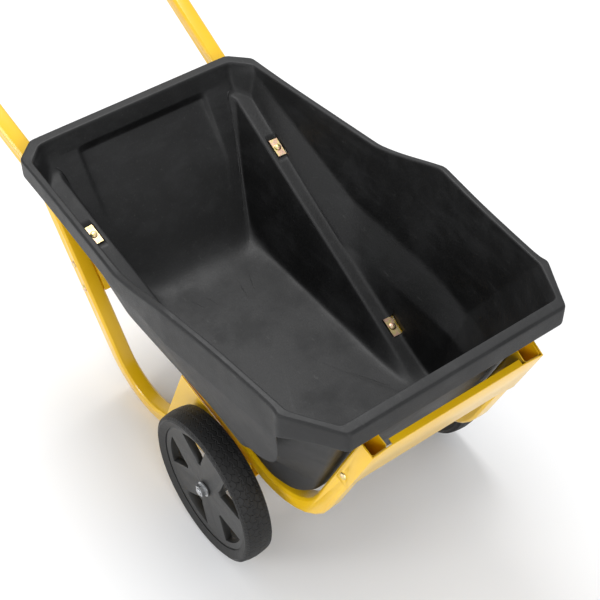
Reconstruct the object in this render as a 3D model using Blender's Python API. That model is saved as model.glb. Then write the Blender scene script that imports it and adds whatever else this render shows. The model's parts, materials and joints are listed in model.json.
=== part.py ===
"""Two-wheeled garden cart: a moulded tub bolted to a bent square-tube frame.

The cart stands on its two wheels and two legs.  +Z is up, the nose (dump end) faces -Y and the handle +Y.
Sizes are in metres.  Pieces are laid out from the wheel axle, and one empty carries them all so that the
origin ends up on the ground under the middle of the cart.
"""
import math

import bmesh
import bpy
from mathutils import Matrix, Vector

# ---------------------------------------------------------------- driving dimensions
GAP = 0.0003                    # clearance kept between pieces that touch

WHEEL_RADIUS = 0.178            # 14 inch wheel
TYRE_WIDTH = 0.066
TYRE_DEPTH = 0.031              # radial thickness of the solid tyre
WHEEL_CENTRE_X = 0.291          # mid plane of a tyre
TYRE_TOP = 2 * WHEEL_RADIUS     # the frame and tub are placed from here, so that they rise with the wheels
HUB_OUTER = 0.021               # outer face of the hub from the wheel's mid plane
HUB_INNER = 0.027               # inner end of the hub's barrel from the mid plane
HUB_RADIUS = 0.031
HUB_DISC = 0.016                # thickness of the spoked disc
HUB_RIM = 0.008                 # thickness of the rim band
SPOKES = 5
WINDOW_ANGLE = math.radians(40.0)   # angle that an opening spans at its outer end
WINDOW_INNER = 0.066            # distance of an opening's inner end from the axle
WINDOW_TIP = 0.012              # half width of an opening's inner end
WINDOW_PHASE = math.radians(33.3)
WHEEL_STEPS = 60

AXLE_RADIUS = 0.0079            # 5/8 inch rod
BUSH_WALL = 0.0035
BUSH_FLANGE = 0.003
BUSH_LENGTH = 0.016
SPACER_WALL = 0.003
WASHER_RADIUS = 0.018
WASHER_THICK = 0.002
AXLE_NUT_FLATS = 0.024
AXLE_NUT_HEIGHT = 0.010
AXLE_END = 0.003                # rod standing out of each nut

TUBE = 0.038                    # square tube, outside
TUBE_WALL = 0.002
TUBE_CORNER = 0.005
BEND_STEPS = 8

FRAME_X = 0.2115                # frame tube centre from the mid plane, at the axle
FRAME_SPLAY = math.radians(4.0)
FRAME_SLOPE = math.radians(20.5)
FRAME_HEIGHT = TYRE_TOP - 0.0744    # frame tube centre, at the axle
NOSE_REACH = 0.2133             # corner of the two frame centre lines ahead of the axle
NOSE_ANGLE = math.radians(68.0)
NOSE_BEND = 0.160
NOSE_TOP = TYRE_TOP + 0.272                # upper end of the frame tube
FRAME_REAR = 0.715              # rear end of the frame tube behind the axle

HANDLE_REACH = 1.180            # crossbar centre behind the axle
HANDLE_BEND = 0.075
GRIP_LENGTH = 0.330
GRIP_WALL = 0.006
SPLICE_LENGTH = 0.100
SPLICE_PLAY = 0.0008

LEG_X = 0.2095                  # leg centre from the mid plane, at the axle
LEG_YAW = math.radians(2.05)
LEG_LEAN = math.radians(4.24)
LEG_RAKE = math.radians(67.5)
LEG_REACH = 0.378               # centre of the foot bend behind the axle
LEG_BEND = 0.131
LEG_FRONT = 0.032               # leg tube ahead of the axle
BRACE_HEIGHT = TYRE_TOP - 0.045     # middle of the brace
BRACE_DEPTH = 0.110
BRACE_SHEET = 0.003
BRACE_BOLT_PITCH = 0.066
AXLE_PLATE_SHEET = 0.003
AXLE_PLATE_FRONT = 0.060           # axle plate's front edge ahead of the axle
AXLE_PLATE_DROP = 0.034            # axle plate's lowest corner below the axle
AXLE_PLATE_FOOT = 0.305            # rear lower corner, on the leg's centre line
AXLE_PLATE_HEAD = 0.170            # rear upper corner, on the frame tube's centre line

TUB_WALL = 0.0045
FLOOR_HALF_WIDTH = 0.155
FLOOR_REAR = 0.485
BACK_RAKE = math.radians(57.0)
NOSE_KINK = TYRE_TOP + 0.269               # height where the front wall turns steeper
LEDGE_LOW = (0.2465, TYRE_TOP + 0.036)  # half width and height of the ledge's lower edge
LEDGE_HIGH = (0.295, TYRE_TOP + 0.110)  # half width and height of the ledge's upper edge
LEDGE_BEND = 0.285              # where the ledge starts to climb towards the rear
LEDGE_CLIMB = 0.40
LEDGE_MERGE = 0.003             # width of the step left where the ledge runs into the shoulder
SHOULDER_STEP = 0.0075          # shoulder's outer edge past the tube centre
RIM_HEIGHT_NOSE = TYRE_TOP + 0.362
RIM_HEIGHT_FRONT = TYRE_TOP + 0.348
RIM_HEIGHT_REAR = TYRE_TOP + 0.276
RIM_HEIGHT_BACK = TYRE_TOP + 0.264
RIM_SAG = 0.0025                # how far the rim departs from level towards its corners
RIM_NOSE_Y = -0.4005
RIM_BACK_Y = 0.730
NOSE_CORNER_X = 0.2525          # half width of the rim's inner edge at the nose
NOSE_OUTER_X = 0.252            # half width of the rim's outer edge at the nose
NOSE_INNER_X = 0.248            # half width of the rim ring's inner seat at the nose
BACK_CORNER_X = 0.2526          # half width of the rim's inner edge at the back
BACK_OUTER_X = 0.261
FRONT_CORNER = (0.3005, -0.2845)    # inner corner between a side and the nose: half width, and y from the axle
FRONT_OUTER = (0.323, -0.282)
BACK_CORNER = (0.292, 0.664)    # inner corner between a side and the back
BACK_OUTER = (0.308, 0.688)
STEP_TOP = (0.3315, 0.057)      # inner corner where the rim starts to step down behind the wheels
STEP_MIDDLE = 0.151
STEP_FOOT = (0.322, 0.245)      # inner corner where the step ends
SIDE_RUN_OUT = ((0.275, -0.46), (0.284, 0.80))  # the sides' lines carried on past the nose and the back
APRON_FRONT = -0.245            # front end of the side panels
APRON_FRONT_FLARE = 0.005
APRON_FRONT_TUCK = 0.006
STEP_SKIRT = 0.062              # skirt depth halfway down the step
STEP_FOOT_EDGE = (0.327, TYRE_TOP + 0.179)  # half width and height of the side panel's lower edge there
FRONT_CORNER_RAKE = math.radians(73.8)
BACK_CORNER_RAKE = math.radians(64.0)
BACK_FILLET = 0.060             # round between the floor and the back wall
BACK_CORNER_SETBACK = 0.030     # back wall's inner face ahead of the rim's outer edge
RIM_LAND = 0.016
RIM_LAND_ENDS = 0.0265
SKIRT = 0.046
APRON_FOLD = 0.090              # skirt depth over the side panels
APRON_FOOT = (0.303, TYRE_TOP + 0.114)  # half width and height of the side panel's lower edge
SKIRT_HEM = 0.003
SKIRT_LIFT = 0.006              # gap between the back skirt and the tubes under it
RECESS_HALF_WIDTH = 0.170
RECESS_TOP = 0.055              # below the back rim, along the wall
RECESS_LENGTH = 0.200
RECESS_DEPTH = 0.006

TUB_BOLT_RADIUS = 0.004
TUB_BOLT_HEAD = 0.0085
TUB_BOLT_REAR = 0.513           # behind the axle
TUB_BOLT_FRONT = 0.0365
PLATE_LENGTH = 0.046
PLATE_WIDTH = 0.021
PLATE_THICK = 0.0025
PLATE_ROOM = 0.0006             # play around each plate in its pocket
POCKET_DEPTH = 0.001
BOLT_RADIUS = 0.004
BOLT_HEAD = 0.008
NUT_FLATS = 0.013
NUT_HEIGHT = 0.0065
BOLT_END = 0.004

NOSE_PLATE_SHEET = 0.0025
NOSE_PLATE_LOW = TYRE_TOP + 0.122   # heights of the plate's lower and upper edges on the tube centre line
NOSE_PLATE_HIGH = TYRE_TOP + 0.276
NOSE_FLANGE = 0.030
NOSE_CREASE = 0.004             # how far inboard of a tube the plate's face is creased
NOSE_RETURN = 0.014
NOSE_BOLT_HEIGHT = TYRE_TOP + 0.144

ROUND_STEPS = 24                # sides of bolts, bushes and other small turned pieces


# ---------------------------------------------------------------- frame lines
def frame_centre(reach):
    """Height of the straight frame centre line at a distance behind the axle, in the frame's own plane."""
    return FRAME_HEIGHT + reach * math.tan(FRAME_SLOPE)


def frame_x(y):
    """Half width of the frame centre line at y."""
    return FRAME_X + y * math.tan(FRAME_SPLAY)


def frame_top(y):
    """Height of the frame tube's top face at y."""
    return frame_centre(y / math.cos(FRAME_SPLAY)) + TUBE / 2 / math.cos(FRAME_SLOPE)


def frame_underside(y):
    """Height of the frame tube's bottom face at y."""
    return frame_top(y) - TUBE / math.cos(FRAME_SLOPE)


NOSE_TURN = FRAME_SLOPE + NOSE_ANGLE
NOSE_TANGENT = NOSE_BEND * math.tan(NOSE_TURN / 2)
NOSE_CORNER = Vector((0, -NOSE_REACH, frame_centre(-NOSE_REACH)))
SLOPE_DIRECTION = Vector((0, math.cos(FRAME_SLOPE), math.sin(FRAME_SLOPE)))
SLOPE_NORMAL = Vector((0, -math.sin(FRAME_SLOPE), math.cos(FRAME_SLOPE)))
NOSE_DIRECTION = Vector((0, -math.cos(NOSE_ANGLE), math.sin(NOSE_ANGLE)))
NOSE_FORWARD = Vector((0, -math.sin(NOSE_ANGLE), -math.cos(NOSE_ANGLE)))
NOSE_BEND_START = NOSE_CORNER + SLOPE_DIRECTION * NOSE_TANGENT
NOSE_BEND_CENTRE = NOSE_BEND_START + SLOPE_NORMAL * NOSE_BEND
NOSE_BEND_END = NOSE_CORNER + NOSE_DIRECTION * NOSE_TANGENT


def nose_point(height):
    """Point of the upturned frame centre line at a height, in the frame's own plane."""
    return NOSE_CORNER + NOSE_DIRECTION * ((height - NOSE_CORNER.z) / NOSE_DIRECTION.z)


def origin_shift():
    """How far the axle lies behind the origin, which is under the middle of the cart."""
    front = min(RIM_NOSE_Y, min(point.y for point in nose_plate_half(NOSE_PLATE_HIGH)))
    slope = math.atan(math.tan(FRAME_SLOPE) / math.cos(FRAME_SPLAY))
    grip_half = TUBE / 2 + GAP + GRIP_WALL
    corner = grip_half - (TUBE_CORNER + GRIP_WALL)
    back = HANDLE_REACH + grip_half * math.cos(slope) + corner * math.sin(slope)
    return -(front + back) / 2


# ---------------------------------------------------------------- small modelling helpers
def material(name, colour, roughness, metallic=0.0):
    """A Principled material."""
    mat = bpy.data.materials.new(name)
    mat.use_nodes = True
    shader = mat.node_tree.nodes["Principled BSDF"]
    shader.inputs["Base Color"].default_value = (*colour, 1.0)
    shader.inputs["Roughness"].default_value = roughness
    shader.inputs["Metallic"].default_value = metallic
    return mat


FINISHES = {
    "tub": ((0.022, 0.023, 0.026), 0.62, 0.0),
    "yellow": ((0.83, 0.56, 0.02), 0.28, 0.0),
    "tyre": ((0.018, 0.018, 0.019), 0.80, 0.0),
    "hub": ((0.045, 0.046, 0.048), 0.48, 0.0),
    "zinc": ((0.72, 0.62, 0.36), 0.33, 1.0),
    "steel": ((0.55, 0.56, 0.57), 0.35, 1.0),
    "bush": ((0.10, 0.10, 0.105), 0.50, 0.0),
    "foam": ((0.020, 0.020, 0.021), 0.85, 0.0),
}


def add_object(name, mesh, finish, parent, matrix=None):
    """Link a mesh as a named piece with a material of its own, placed under a parent."""
    obj = bpy.data.objects.new(name, mesh)
    bpy.context.scene.collection.objects.link(obj)
    obj.parent = parent
    if matrix is not None:
        obj.matrix_local = matrix
    if not mesh.materials:
        mesh.materials.append(material(name + "_finish", *FINISHES[finish]))
    return obj


def add_empty(name, parent=None, location=(0, 0, 0), matrix=None):
    """An empty that carries other pieces."""
    empty = bpy.data.objects.new(name, None)
    bpy.context.scene.collection.objects.link(empty)
    empty.parent = parent
    empty.matrix_local = Matrix.Translation(location) if matrix is None else matrix
    return empty


def finish_mesh(bm, name, sharp_angle=35.0):
    """Close a bmesh into a mesh with outward faces, shaded smooth except at its edges."""
    bmesh.ops.remove_doubles(bm, verts=bm.verts, dist=1e-6)
    bmesh.ops.recalc_face_normals(bm, faces=bm.faces)
    mesh = bpy.data.meshes.new(name)
    bm.to_mesh(mesh)
    bm.free()
    mesh.shade_smooth()
    mesh.set_sharp_from_angle(angle=math.radians(sharp_angle))
    return mesh


def prism(name, outline, start, end, axes="xy"):
    """Extrude a flat outline from start to end along the axis that its two axes leave."""
    place = {
        "xy": lambda a, b, c: (a, b, c),
        "yz": lambda a, b, c: (c, a, b),
        "xz": lambda a, b, c: (a, c, b),
    }[axes]
    bm = bmesh.new()
    face = bm.faces.new([bm.verts.new(place(a, b, start)) for a, b in outline])
    extruded = bmesh.ops.extrude_face_region(bm, geom=[face])["geom"]
    shift = Vector(place(0, 0, end - start))
    bmesh.ops.translate(bm, vec=shift, verts=[v for v in extruded if isinstance(v, bmesh.types.BMVert)])
    return finish_mesh(bm, name)


def rectangle(half_a, half_b):
    """A centred rectangular outline."""
    return [(-half_a, -half_b), (half_a, -half_b), (half_a, half_b), (-half_a, half_b)]


def lathe(name, profile, steps=ROUND_STEPS, sharp_angle=35.0):
    """Turn a (radius, x) profile about the X axis; a profile that starts on the axis also ends on it."""
    bm = bmesh.new()
    verts = [bm.verts.new((x, 0, r)) for r, x in profile]
    edges = [bm.edges.new(pair) for pair in zip(verts, verts[1:])]
    if profile[0][0] > 0:
        edges.append(bm.edges.new((verts[-1], verts[0])))
    bmesh.ops.spin(bm, geom=verts + edges, axis=(1, 0, 0), cent=(0, 0, 0), angle=2 * math.pi, steps=steps,
                   use_merge=True)
    bmesh.ops.remove_doubles(bm, verts=bm.verts, dist=1e-6)
    bmesh.ops.dissolve_degenerate(bm, edges=bm.edges, dist=1e-6)
    return finish_mesh(bm, name, sharp_angle)


def cutter(name, mesh, parent=None, matrix=None):
    """A hidden solid that only cuts other pieces."""
    obj = bpy.data.objects.new(name, mesh)
    bpy.context.scene.collection.objects.link(obj)
    obj.parent = parent
    if matrix is not None:
        obj.matrix_local = matrix
    obj.hide_render = True
    obj.display_type = "WIRE"
    return obj


def boolean(obj, other, operation="DIFFERENCE"):
    """Add an exact Boolean with another object."""
    modifier = obj.modifiers.new(operation.lower(), "BOOLEAN")
    modifier.operation = operation
    modifier.object = other
    modifier.solver = "EXACT"


def square_section(size, corner):
    """Corners of a square section with cut corners, anticlockwise, about its centre."""
    half = size / 2
    flat = half - corner
    return [(half, -flat), (half, flat), (flat, half), (-flat, half),
            (-half, flat), (-half, -flat), (-flat, -half), (flat, -half)]


def swept_tube(name, moves, start, size=TUBE, corner=TUBE_CORNER, wall=TUBE_WALL):
    """Sweep a square section through straight runs and bends.

    The section starts at a matrix whose local Y axis is the way forward.  A move is either
    ("run", length) or ("bend", angle, radius, axis): a bend turns about local X (pitch) or local Z (yaw).
    A wall of None makes a solid bar.
    """
    bm = bmesh.new()
    rings = [square_section(size, corner)]
    if wall is not None:
        inner_corner = max(corner - wall, wall / 4)
        rings.append(square_section(size - 2 * wall, inner_corner))
    stations = [start.copy()]
    for move in moves:
        here = stations[-1]
        if move[0] == "run":
            stations.append(here @ Matrix.Translation((0, move[1], 0)))
            continue
        _, angle, radius, axis = move
        side = 1 if angle > 0 else -1
        centre = Matrix.Translation((0, 0, side * radius) if axis == "X" else (-side * radius, 0, 0))
        for step in range(1, BEND_STEPS + 1):
            turn = Matrix.Rotation(angle * step / BEND_STEPS, 4, axis)
            stations.append(here @ centre @ turn @ centre.inverted())
    loops = []
    for ring in rings:
        loops.append([[bm.verts.new(place @ Vector((a, 0, b))) for a, b in ring] for place in stations])
        for one, two in zip(loops[-1], loops[-1][1:]):
            for i in range(len(ring)):
                j = (i + 1) % len(ring)
                bm.faces.new((one[i], one[j], two[j], two[i]))
    if wall is None:
        bm.faces.new(loops[0][0])
        bm.faces.new(loops[0][-1])
    else:
        for end in (0, -1):
            for i in range(len(rings[0])):
                j = (i + 1) % len(rings[0])
                bm.faces.new((loops[0][end][i], loops[0][end][j], loops[1][end][j], loops[1][end][i]))
    return finish_mesh(bm, name)


def along(origin, direction, up=Vector((0, 0, 1))):
    """A matrix at origin whose local Y axis runs along a direction, with local Z as near up as can be."""
    y_axis = direction.normalized()
    x_axis = y_axis.cross(up).normalized()
    z_axis = x_axis.cross(y_axis)
    matrix = Matrix((x_axis, y_axis, z_axis)).transposed().to_4x4()
    matrix.translation = origin
    return matrix


def rod(name, radius, start, end, steps=ROUND_STEPS):
    """A solid round rod along X."""
    return lathe(name, [(0, start), (radius, start), (radius, end), (0, end)], steps)


def bolt_mesh(name, radius, head, grip):
    """A round-head bolt along +X: the head stands below 0 and the shank runs to grip."""
    dome = head * 0.55
    chamfer = radius * 0.25
    profile = [(0, -dome), (head * 0.55, -dome * 0.86), (head * 0.88, -dome * 0.5), (head, 0), (radius, 0),
               (radius, grip - chamfer), (radius - chamfer, grip), (0, grip)]
    return lathe(name, profile)


def nut_mesh(name, flats, height, bore):
    """A hexagon nut along +X with a plain bore."""
    steps = ROUND_STEPS
    corner = flats / 2 / math.cos(math.pi / 6)
    bm = bmesh.new()
    outer = []
    inner = []
    for step in range(steps):
        angle = 2 * math.pi * step / steps
        to_flat = (angle + math.pi / 6) % (math.pi / 3) - math.pi / 6
        reach = min(flats / 2 / math.cos(to_flat), corner)
        outer.append((reach * math.cos(angle), reach * math.sin(angle)))
        inner.append((bore * math.cos(angle), bore * math.sin(angle)))
    levels = [[bm.verts.new((x, y, z)) for y, z in ring] for ring, x in
              ((inner, 0), (outer, 0), (outer, height), (inner, height))]
    for one, two in zip(levels, levels[1:] + levels[:1]):
        for i in range(steps):
            j = (i + 1) % steps
            bm.faces.new((one[i], one[j], two[j], two[i]))
    return finish_mesh(bm, name, 25.0)


# ---------------------------------------------------------------- wheels
def hub_mesh():
    """Spoked hub, wheel axis on X: rim band, disc and barrel turned as one."""
    rim_outer = WHEEL_RADIUS - TYRE_DEPTH - GAP
    rim_inner = rim_outer - HUB_RIM
    half_rim = TYRE_WIDTH * 0.36
    back = HUB_OUTER - HUB_DISC
    bore = AXLE_RADIUS + GAP + BUSH_WALL + GAP
    fillet = 0.005
    step = half_rim - HUB_OUTER
    profile = [
        (bore, -HUB_INNER), (HUB_RADIUS * 0.85, -HUB_INNER), (HUB_RADIUS, back), (rim_inner - fillet, back),
        (rim_inner, back - fillet), (rim_inner, -half_rim), (rim_outer, -half_rim), (rim_outer, half_rim),
        (rim_inner + step, half_rim), (rim_inner - step, HUB_OUTER), (bore, HUB_OUTER),
    ]
    return lathe("hub", profile, WHEEL_STEPS)


def window_outline():
    """Outline of one opening between two spokes, centred on +Y, in the wheel's Y-Z plane."""
    outer = WHEEL_RADIUS - TYRE_DEPTH - GAP - HUB_RIM - 0.006
    arc_steps = 8
    points = []
    for step in range(arc_steps + 1):
        angle = WINDOW_ANGLE * (step / arc_steps - 0.5)
        points.append((outer * math.cos(angle), outer * math.sin(angle)))
    points.append((WINDOW_INNER + WINDOW_TIP, WINDOW_TIP))
    points.append((WINDOW_INNER, WINDOW_TIP / 2))
    points.append((WINDOW_INNER, -WINDOW_TIP / 2))
    points.append((WINDOW_INNER + WINDOW_TIP, -WINDOW_TIP))
    return points


def tyre_mesh():
    """Solid tyre with a crowned tread, wheel axis on X."""
    inner = WHEEL_RADIUS - TYRE_DEPTH
    half = TYRE_WIDTH / 2
    crown = 0.004
    shoulder = 0.010
    bead = half * 0.78
    profile = [(inner, -bead), (WHEEL_RADIUS - shoulder - crown, -half), (WHEEL_RADIUS - crown, -half + shoulder / 2),
               (WHEEL_RADIUS - crown * 0.35, -half * 0.5), (WHEEL_RADIUS, 0), (WHEEL_RADIUS - crown * 0.35, half * 0.5),
               (WHEEL_RADIUS - crown, half - shoulder / 2), (WHEEL_RADIUS - shoulder - crown, half), (inner, bead)]
    return lathe("tyre", profile, WHEEL_STEPS)


def bush_mesh():
    """Flanged bush along X: the flange stands outside 0, the sleeve goes in towards -X."""
    bore = AXLE_RADIUS + GAP
    outer = bore + BUSH_WALL
    flange = outer + BUSH_FLANGE
    profile = [(bore, -BUSH_LENGTH), (outer, -BUSH_LENGTH), (outer, GAP), (flange, GAP), (flange, BUSH_FLANGE),
               (bore, BUSH_FLANGE)]
    return lathe("bush", profile)


def build_wheel(cart, side_name, side):
    """One wheel and what the axle carries beside it; side is -1 for the right and 1 for the left."""
    axis = add_empty("wheel_axis_" + side_name, cart, matrix=Matrix.Translation(
        (side * WHEEL_CENTRE_X, 0, WHEEL_RADIUS)) @ Matrix.Rotation(0 if side > 0 else math.pi, 4, "Z"))
    add_object("tyre_" + side_name, tyre_mesh(), "tyre", axis)
    hub = add_object("hub_" + side_name, hub_mesh(), "hub", axis)
    for index in range(SPOKES):
        window = prism("window", window_outline(), -TYRE_WIDTH, TYRE_WIDTH, "yz")
        turn = Matrix.Rotation(WINDOW_PHASE + 2 * math.pi * index / SPOKES, 4, "X")
        boolean(hub, cutter(f"window_cutter_{side_name}_{index}", window, axis, turn))
    outward = Matrix.Translation((HUB_OUTER, 0, 0))
    inward = Matrix.Translation((-HUB_INNER, 0, 0)) @ Matrix.Rotation(math.pi, 4, "Z")
    add_object("bush_outer_" + side_name, bush_mesh(), "bush", axis, outward)
    add_object("bush_inner_" + side_name, bush_mesh(), "bush", axis, inward)
    stack = HUB_OUTER + BUSH_FLANGE + GAP
    bore = AXLE_RADIUS + GAP
    washer = lathe("washer", [(bore, 0), (WASHER_RADIUS, 0), (WASHER_RADIUS, WASHER_THICK), (bore, WASHER_THICK)])
    add_object("axle_washer_" + side_name, washer, "zinc", axis, Matrix.Translation((stack, 0, 0)))
    stack += WASHER_THICK + GAP
    nut = nut_mesh("nut", AXLE_NUT_FLATS, AXLE_NUT_HEIGHT, bore)
    add_object("axle_nut_" + side_name, nut, "zinc", axis, Matrix.Translation((stack, 0, 0)))
    inner_face = -HUB_INNER - BUSH_FLANGE - GAP
    leg_face = axle_plate_face() + GAP - WHEEL_CENTRE_X
    outer = bore + SPACER_WALL
    spacer = lathe("spacer", [(bore, leg_face), (outer, leg_face), (outer, inner_face), (bore, inner_face)])
    add_object("axle_spacer_" + side_name, spacer, "steel", axis)


def axle_half_length():
    """Half the axle's length."""
    stack = HUB_OUTER + BUSH_FLANGE + GAP + WASHER_THICK + GAP + AXLE_NUT_HEIGHT + AXLE_END
    return WHEEL_CENTRE_X + stack


# ---------------------------------------------------------------- side frames, legs and brackets
def side_frame_matrix(side):
    """Placement of one side frame's plane: local Y runs back along the splayed tube, local Z is up."""
    return Matrix.Translation((side * FRAME_X, 0, 0)) @ Matrix.Rotation(-side * FRAME_SPLAY, 4, "Z")


def frame_start():
    """Where the frame tube's sweep starts: its rear end, heading forward and down."""
    rear = Vector((0, FRAME_REAR, frame_centre(FRAME_REAR)))
    return along(rear, -SLOPE_DIRECTION)


def frame_moves():
    """The frame tube's runs and bend from its rear end to the nose."""
    rear_run = (Vector((0, FRAME_REAR, frame_centre(FRAME_REAR))) - NOSE_BEND_START).length
    nose_run = (nose_point(NOSE_TOP) - NOSE_BEND_END).length
    return [("run", rear_run), ("bend", NOSE_TURN, NOSE_BEND, "X"), ("run", nose_run)]


def leg_matrix(side):
    """Placement of one leg's plane: its origin is on the axle, local Y runs back and local Z up."""
    return (Matrix.Translation((side * LEG_X, 0, WHEEL_RADIUS)) @ Matrix.Rotation(-side * LEG_YAW, 4, "Z")
            @ Matrix.Rotation(side * LEG_LEAN, 4, "Y"))


def leg_foot_level():
    """Height of the foot bend's lowest centre point in the leg's plane, so that the foot touches the ground."""
    corner_drop = (TUBE / 2 - TUBE_CORNER) * math.sin(LEG_LEAN)
    return -(WHEEL_RADIUS - corner_drop) / math.cos(LEG_LEAN) + TUBE / 2


def leg_angle():
    """Slope of the lower run, which starts on the axle and touches the foot bend."""
    centre = Vector((LEG_REACH, leg_foot_level() + LEG_BEND))
    return math.asin(LEG_BEND / centre.length) - math.atan2(centre.y, centre.x)


def leg_moves():
    """Runs and bend of a leg from ahead of the axle, back to the foot and up to the frame."""
    angle = leg_angle()
    centre = Vector((LEG_REACH, leg_foot_level() + LEG_BEND))
    lower = math.sqrt(centre.length_squared - LEG_BEND ** 2)
    bend_end = centre + LEG_BEND * Vector((math.sin(LEG_RAKE), -math.cos(LEG_RAKE)))
    slope = math.tan(FRAME_SLOPE)
    rise = (frame_centre(bend_end.x) - WHEEL_RADIUS - bend_end.y) / (math.sin(LEG_RAKE) - slope * math.cos(LEG_RAKE))
    return [("run", LEG_FRONT + lower), ("bend", angle + LEG_RAKE, LEG_BEND, "X"), ("run", rise)]


def leg_start():
    """Front end of the leg's sweep in the leg's plane."""
    angle = leg_angle()
    direction = Vector((0, math.cos(angle), -math.sin(angle)))
    return along(-direction * LEG_FRONT, direction)


def leg_point(height):
    """Point of the upper leg's centre line at a height above the ground, in the leg's plane."""
    centre = Vector((LEG_REACH, leg_foot_level() + LEG_BEND))
    bend_end = centre + LEG_BEND * Vector((math.sin(LEG_RAKE), -math.cos(LEG_RAKE)))
    level = (height - WHEEL_RADIUS) / math.cos(LEG_LEAN)
    return Vector((0, bend_end.x + (level - bend_end.y) / math.tan(LEG_RAKE), level))


def axle_plate_outline():
    """Outline of the plate outside the leg's lower run and the frame tube, in the leg's plane."""
    run = math.tan(leg_angle())
    front = -AXLE_PLATE_FRONT
    return [(front, -AXLE_PLATE_DROP / 2), (front / 2, -AXLE_PLATE_DROP), (0.0, -AXLE_PLATE_DROP),
            (AXLE_PLATE_FOOT, -AXLE_PLATE_FOOT * run), (AXLE_PLATE_HEAD, frame_centre(AXLE_PLATE_HEAD) - WHEEL_RADIUS),
            (front, frame_centre(front) - WHEEL_RADIUS)]


def axle_plate_face():
    """Half width where the axle plate's outer face is furthest out within the axle spacer's reach."""
    spacer = AXLE_RADIUS + GAP + SPACER_WALL
    face = (TUBE / 2 + GAP + AXLE_PLATE_SHEET) / math.cos(LEG_LEAN) / math.cos(LEG_YAW)
    return LEG_X + face + spacer * (math.tan(LEG_LEAN) + math.tan(LEG_YAW))


def cross_hole(name, radius, parent, place, half_length=TUBE):
    """A cutter along the local X axis of a parent, centred on a point."""
    matrix = Matrix.Translation(place)
    return cutter(name, rod(name, radius, -half_length, half_length), parent, matrix)


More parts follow.
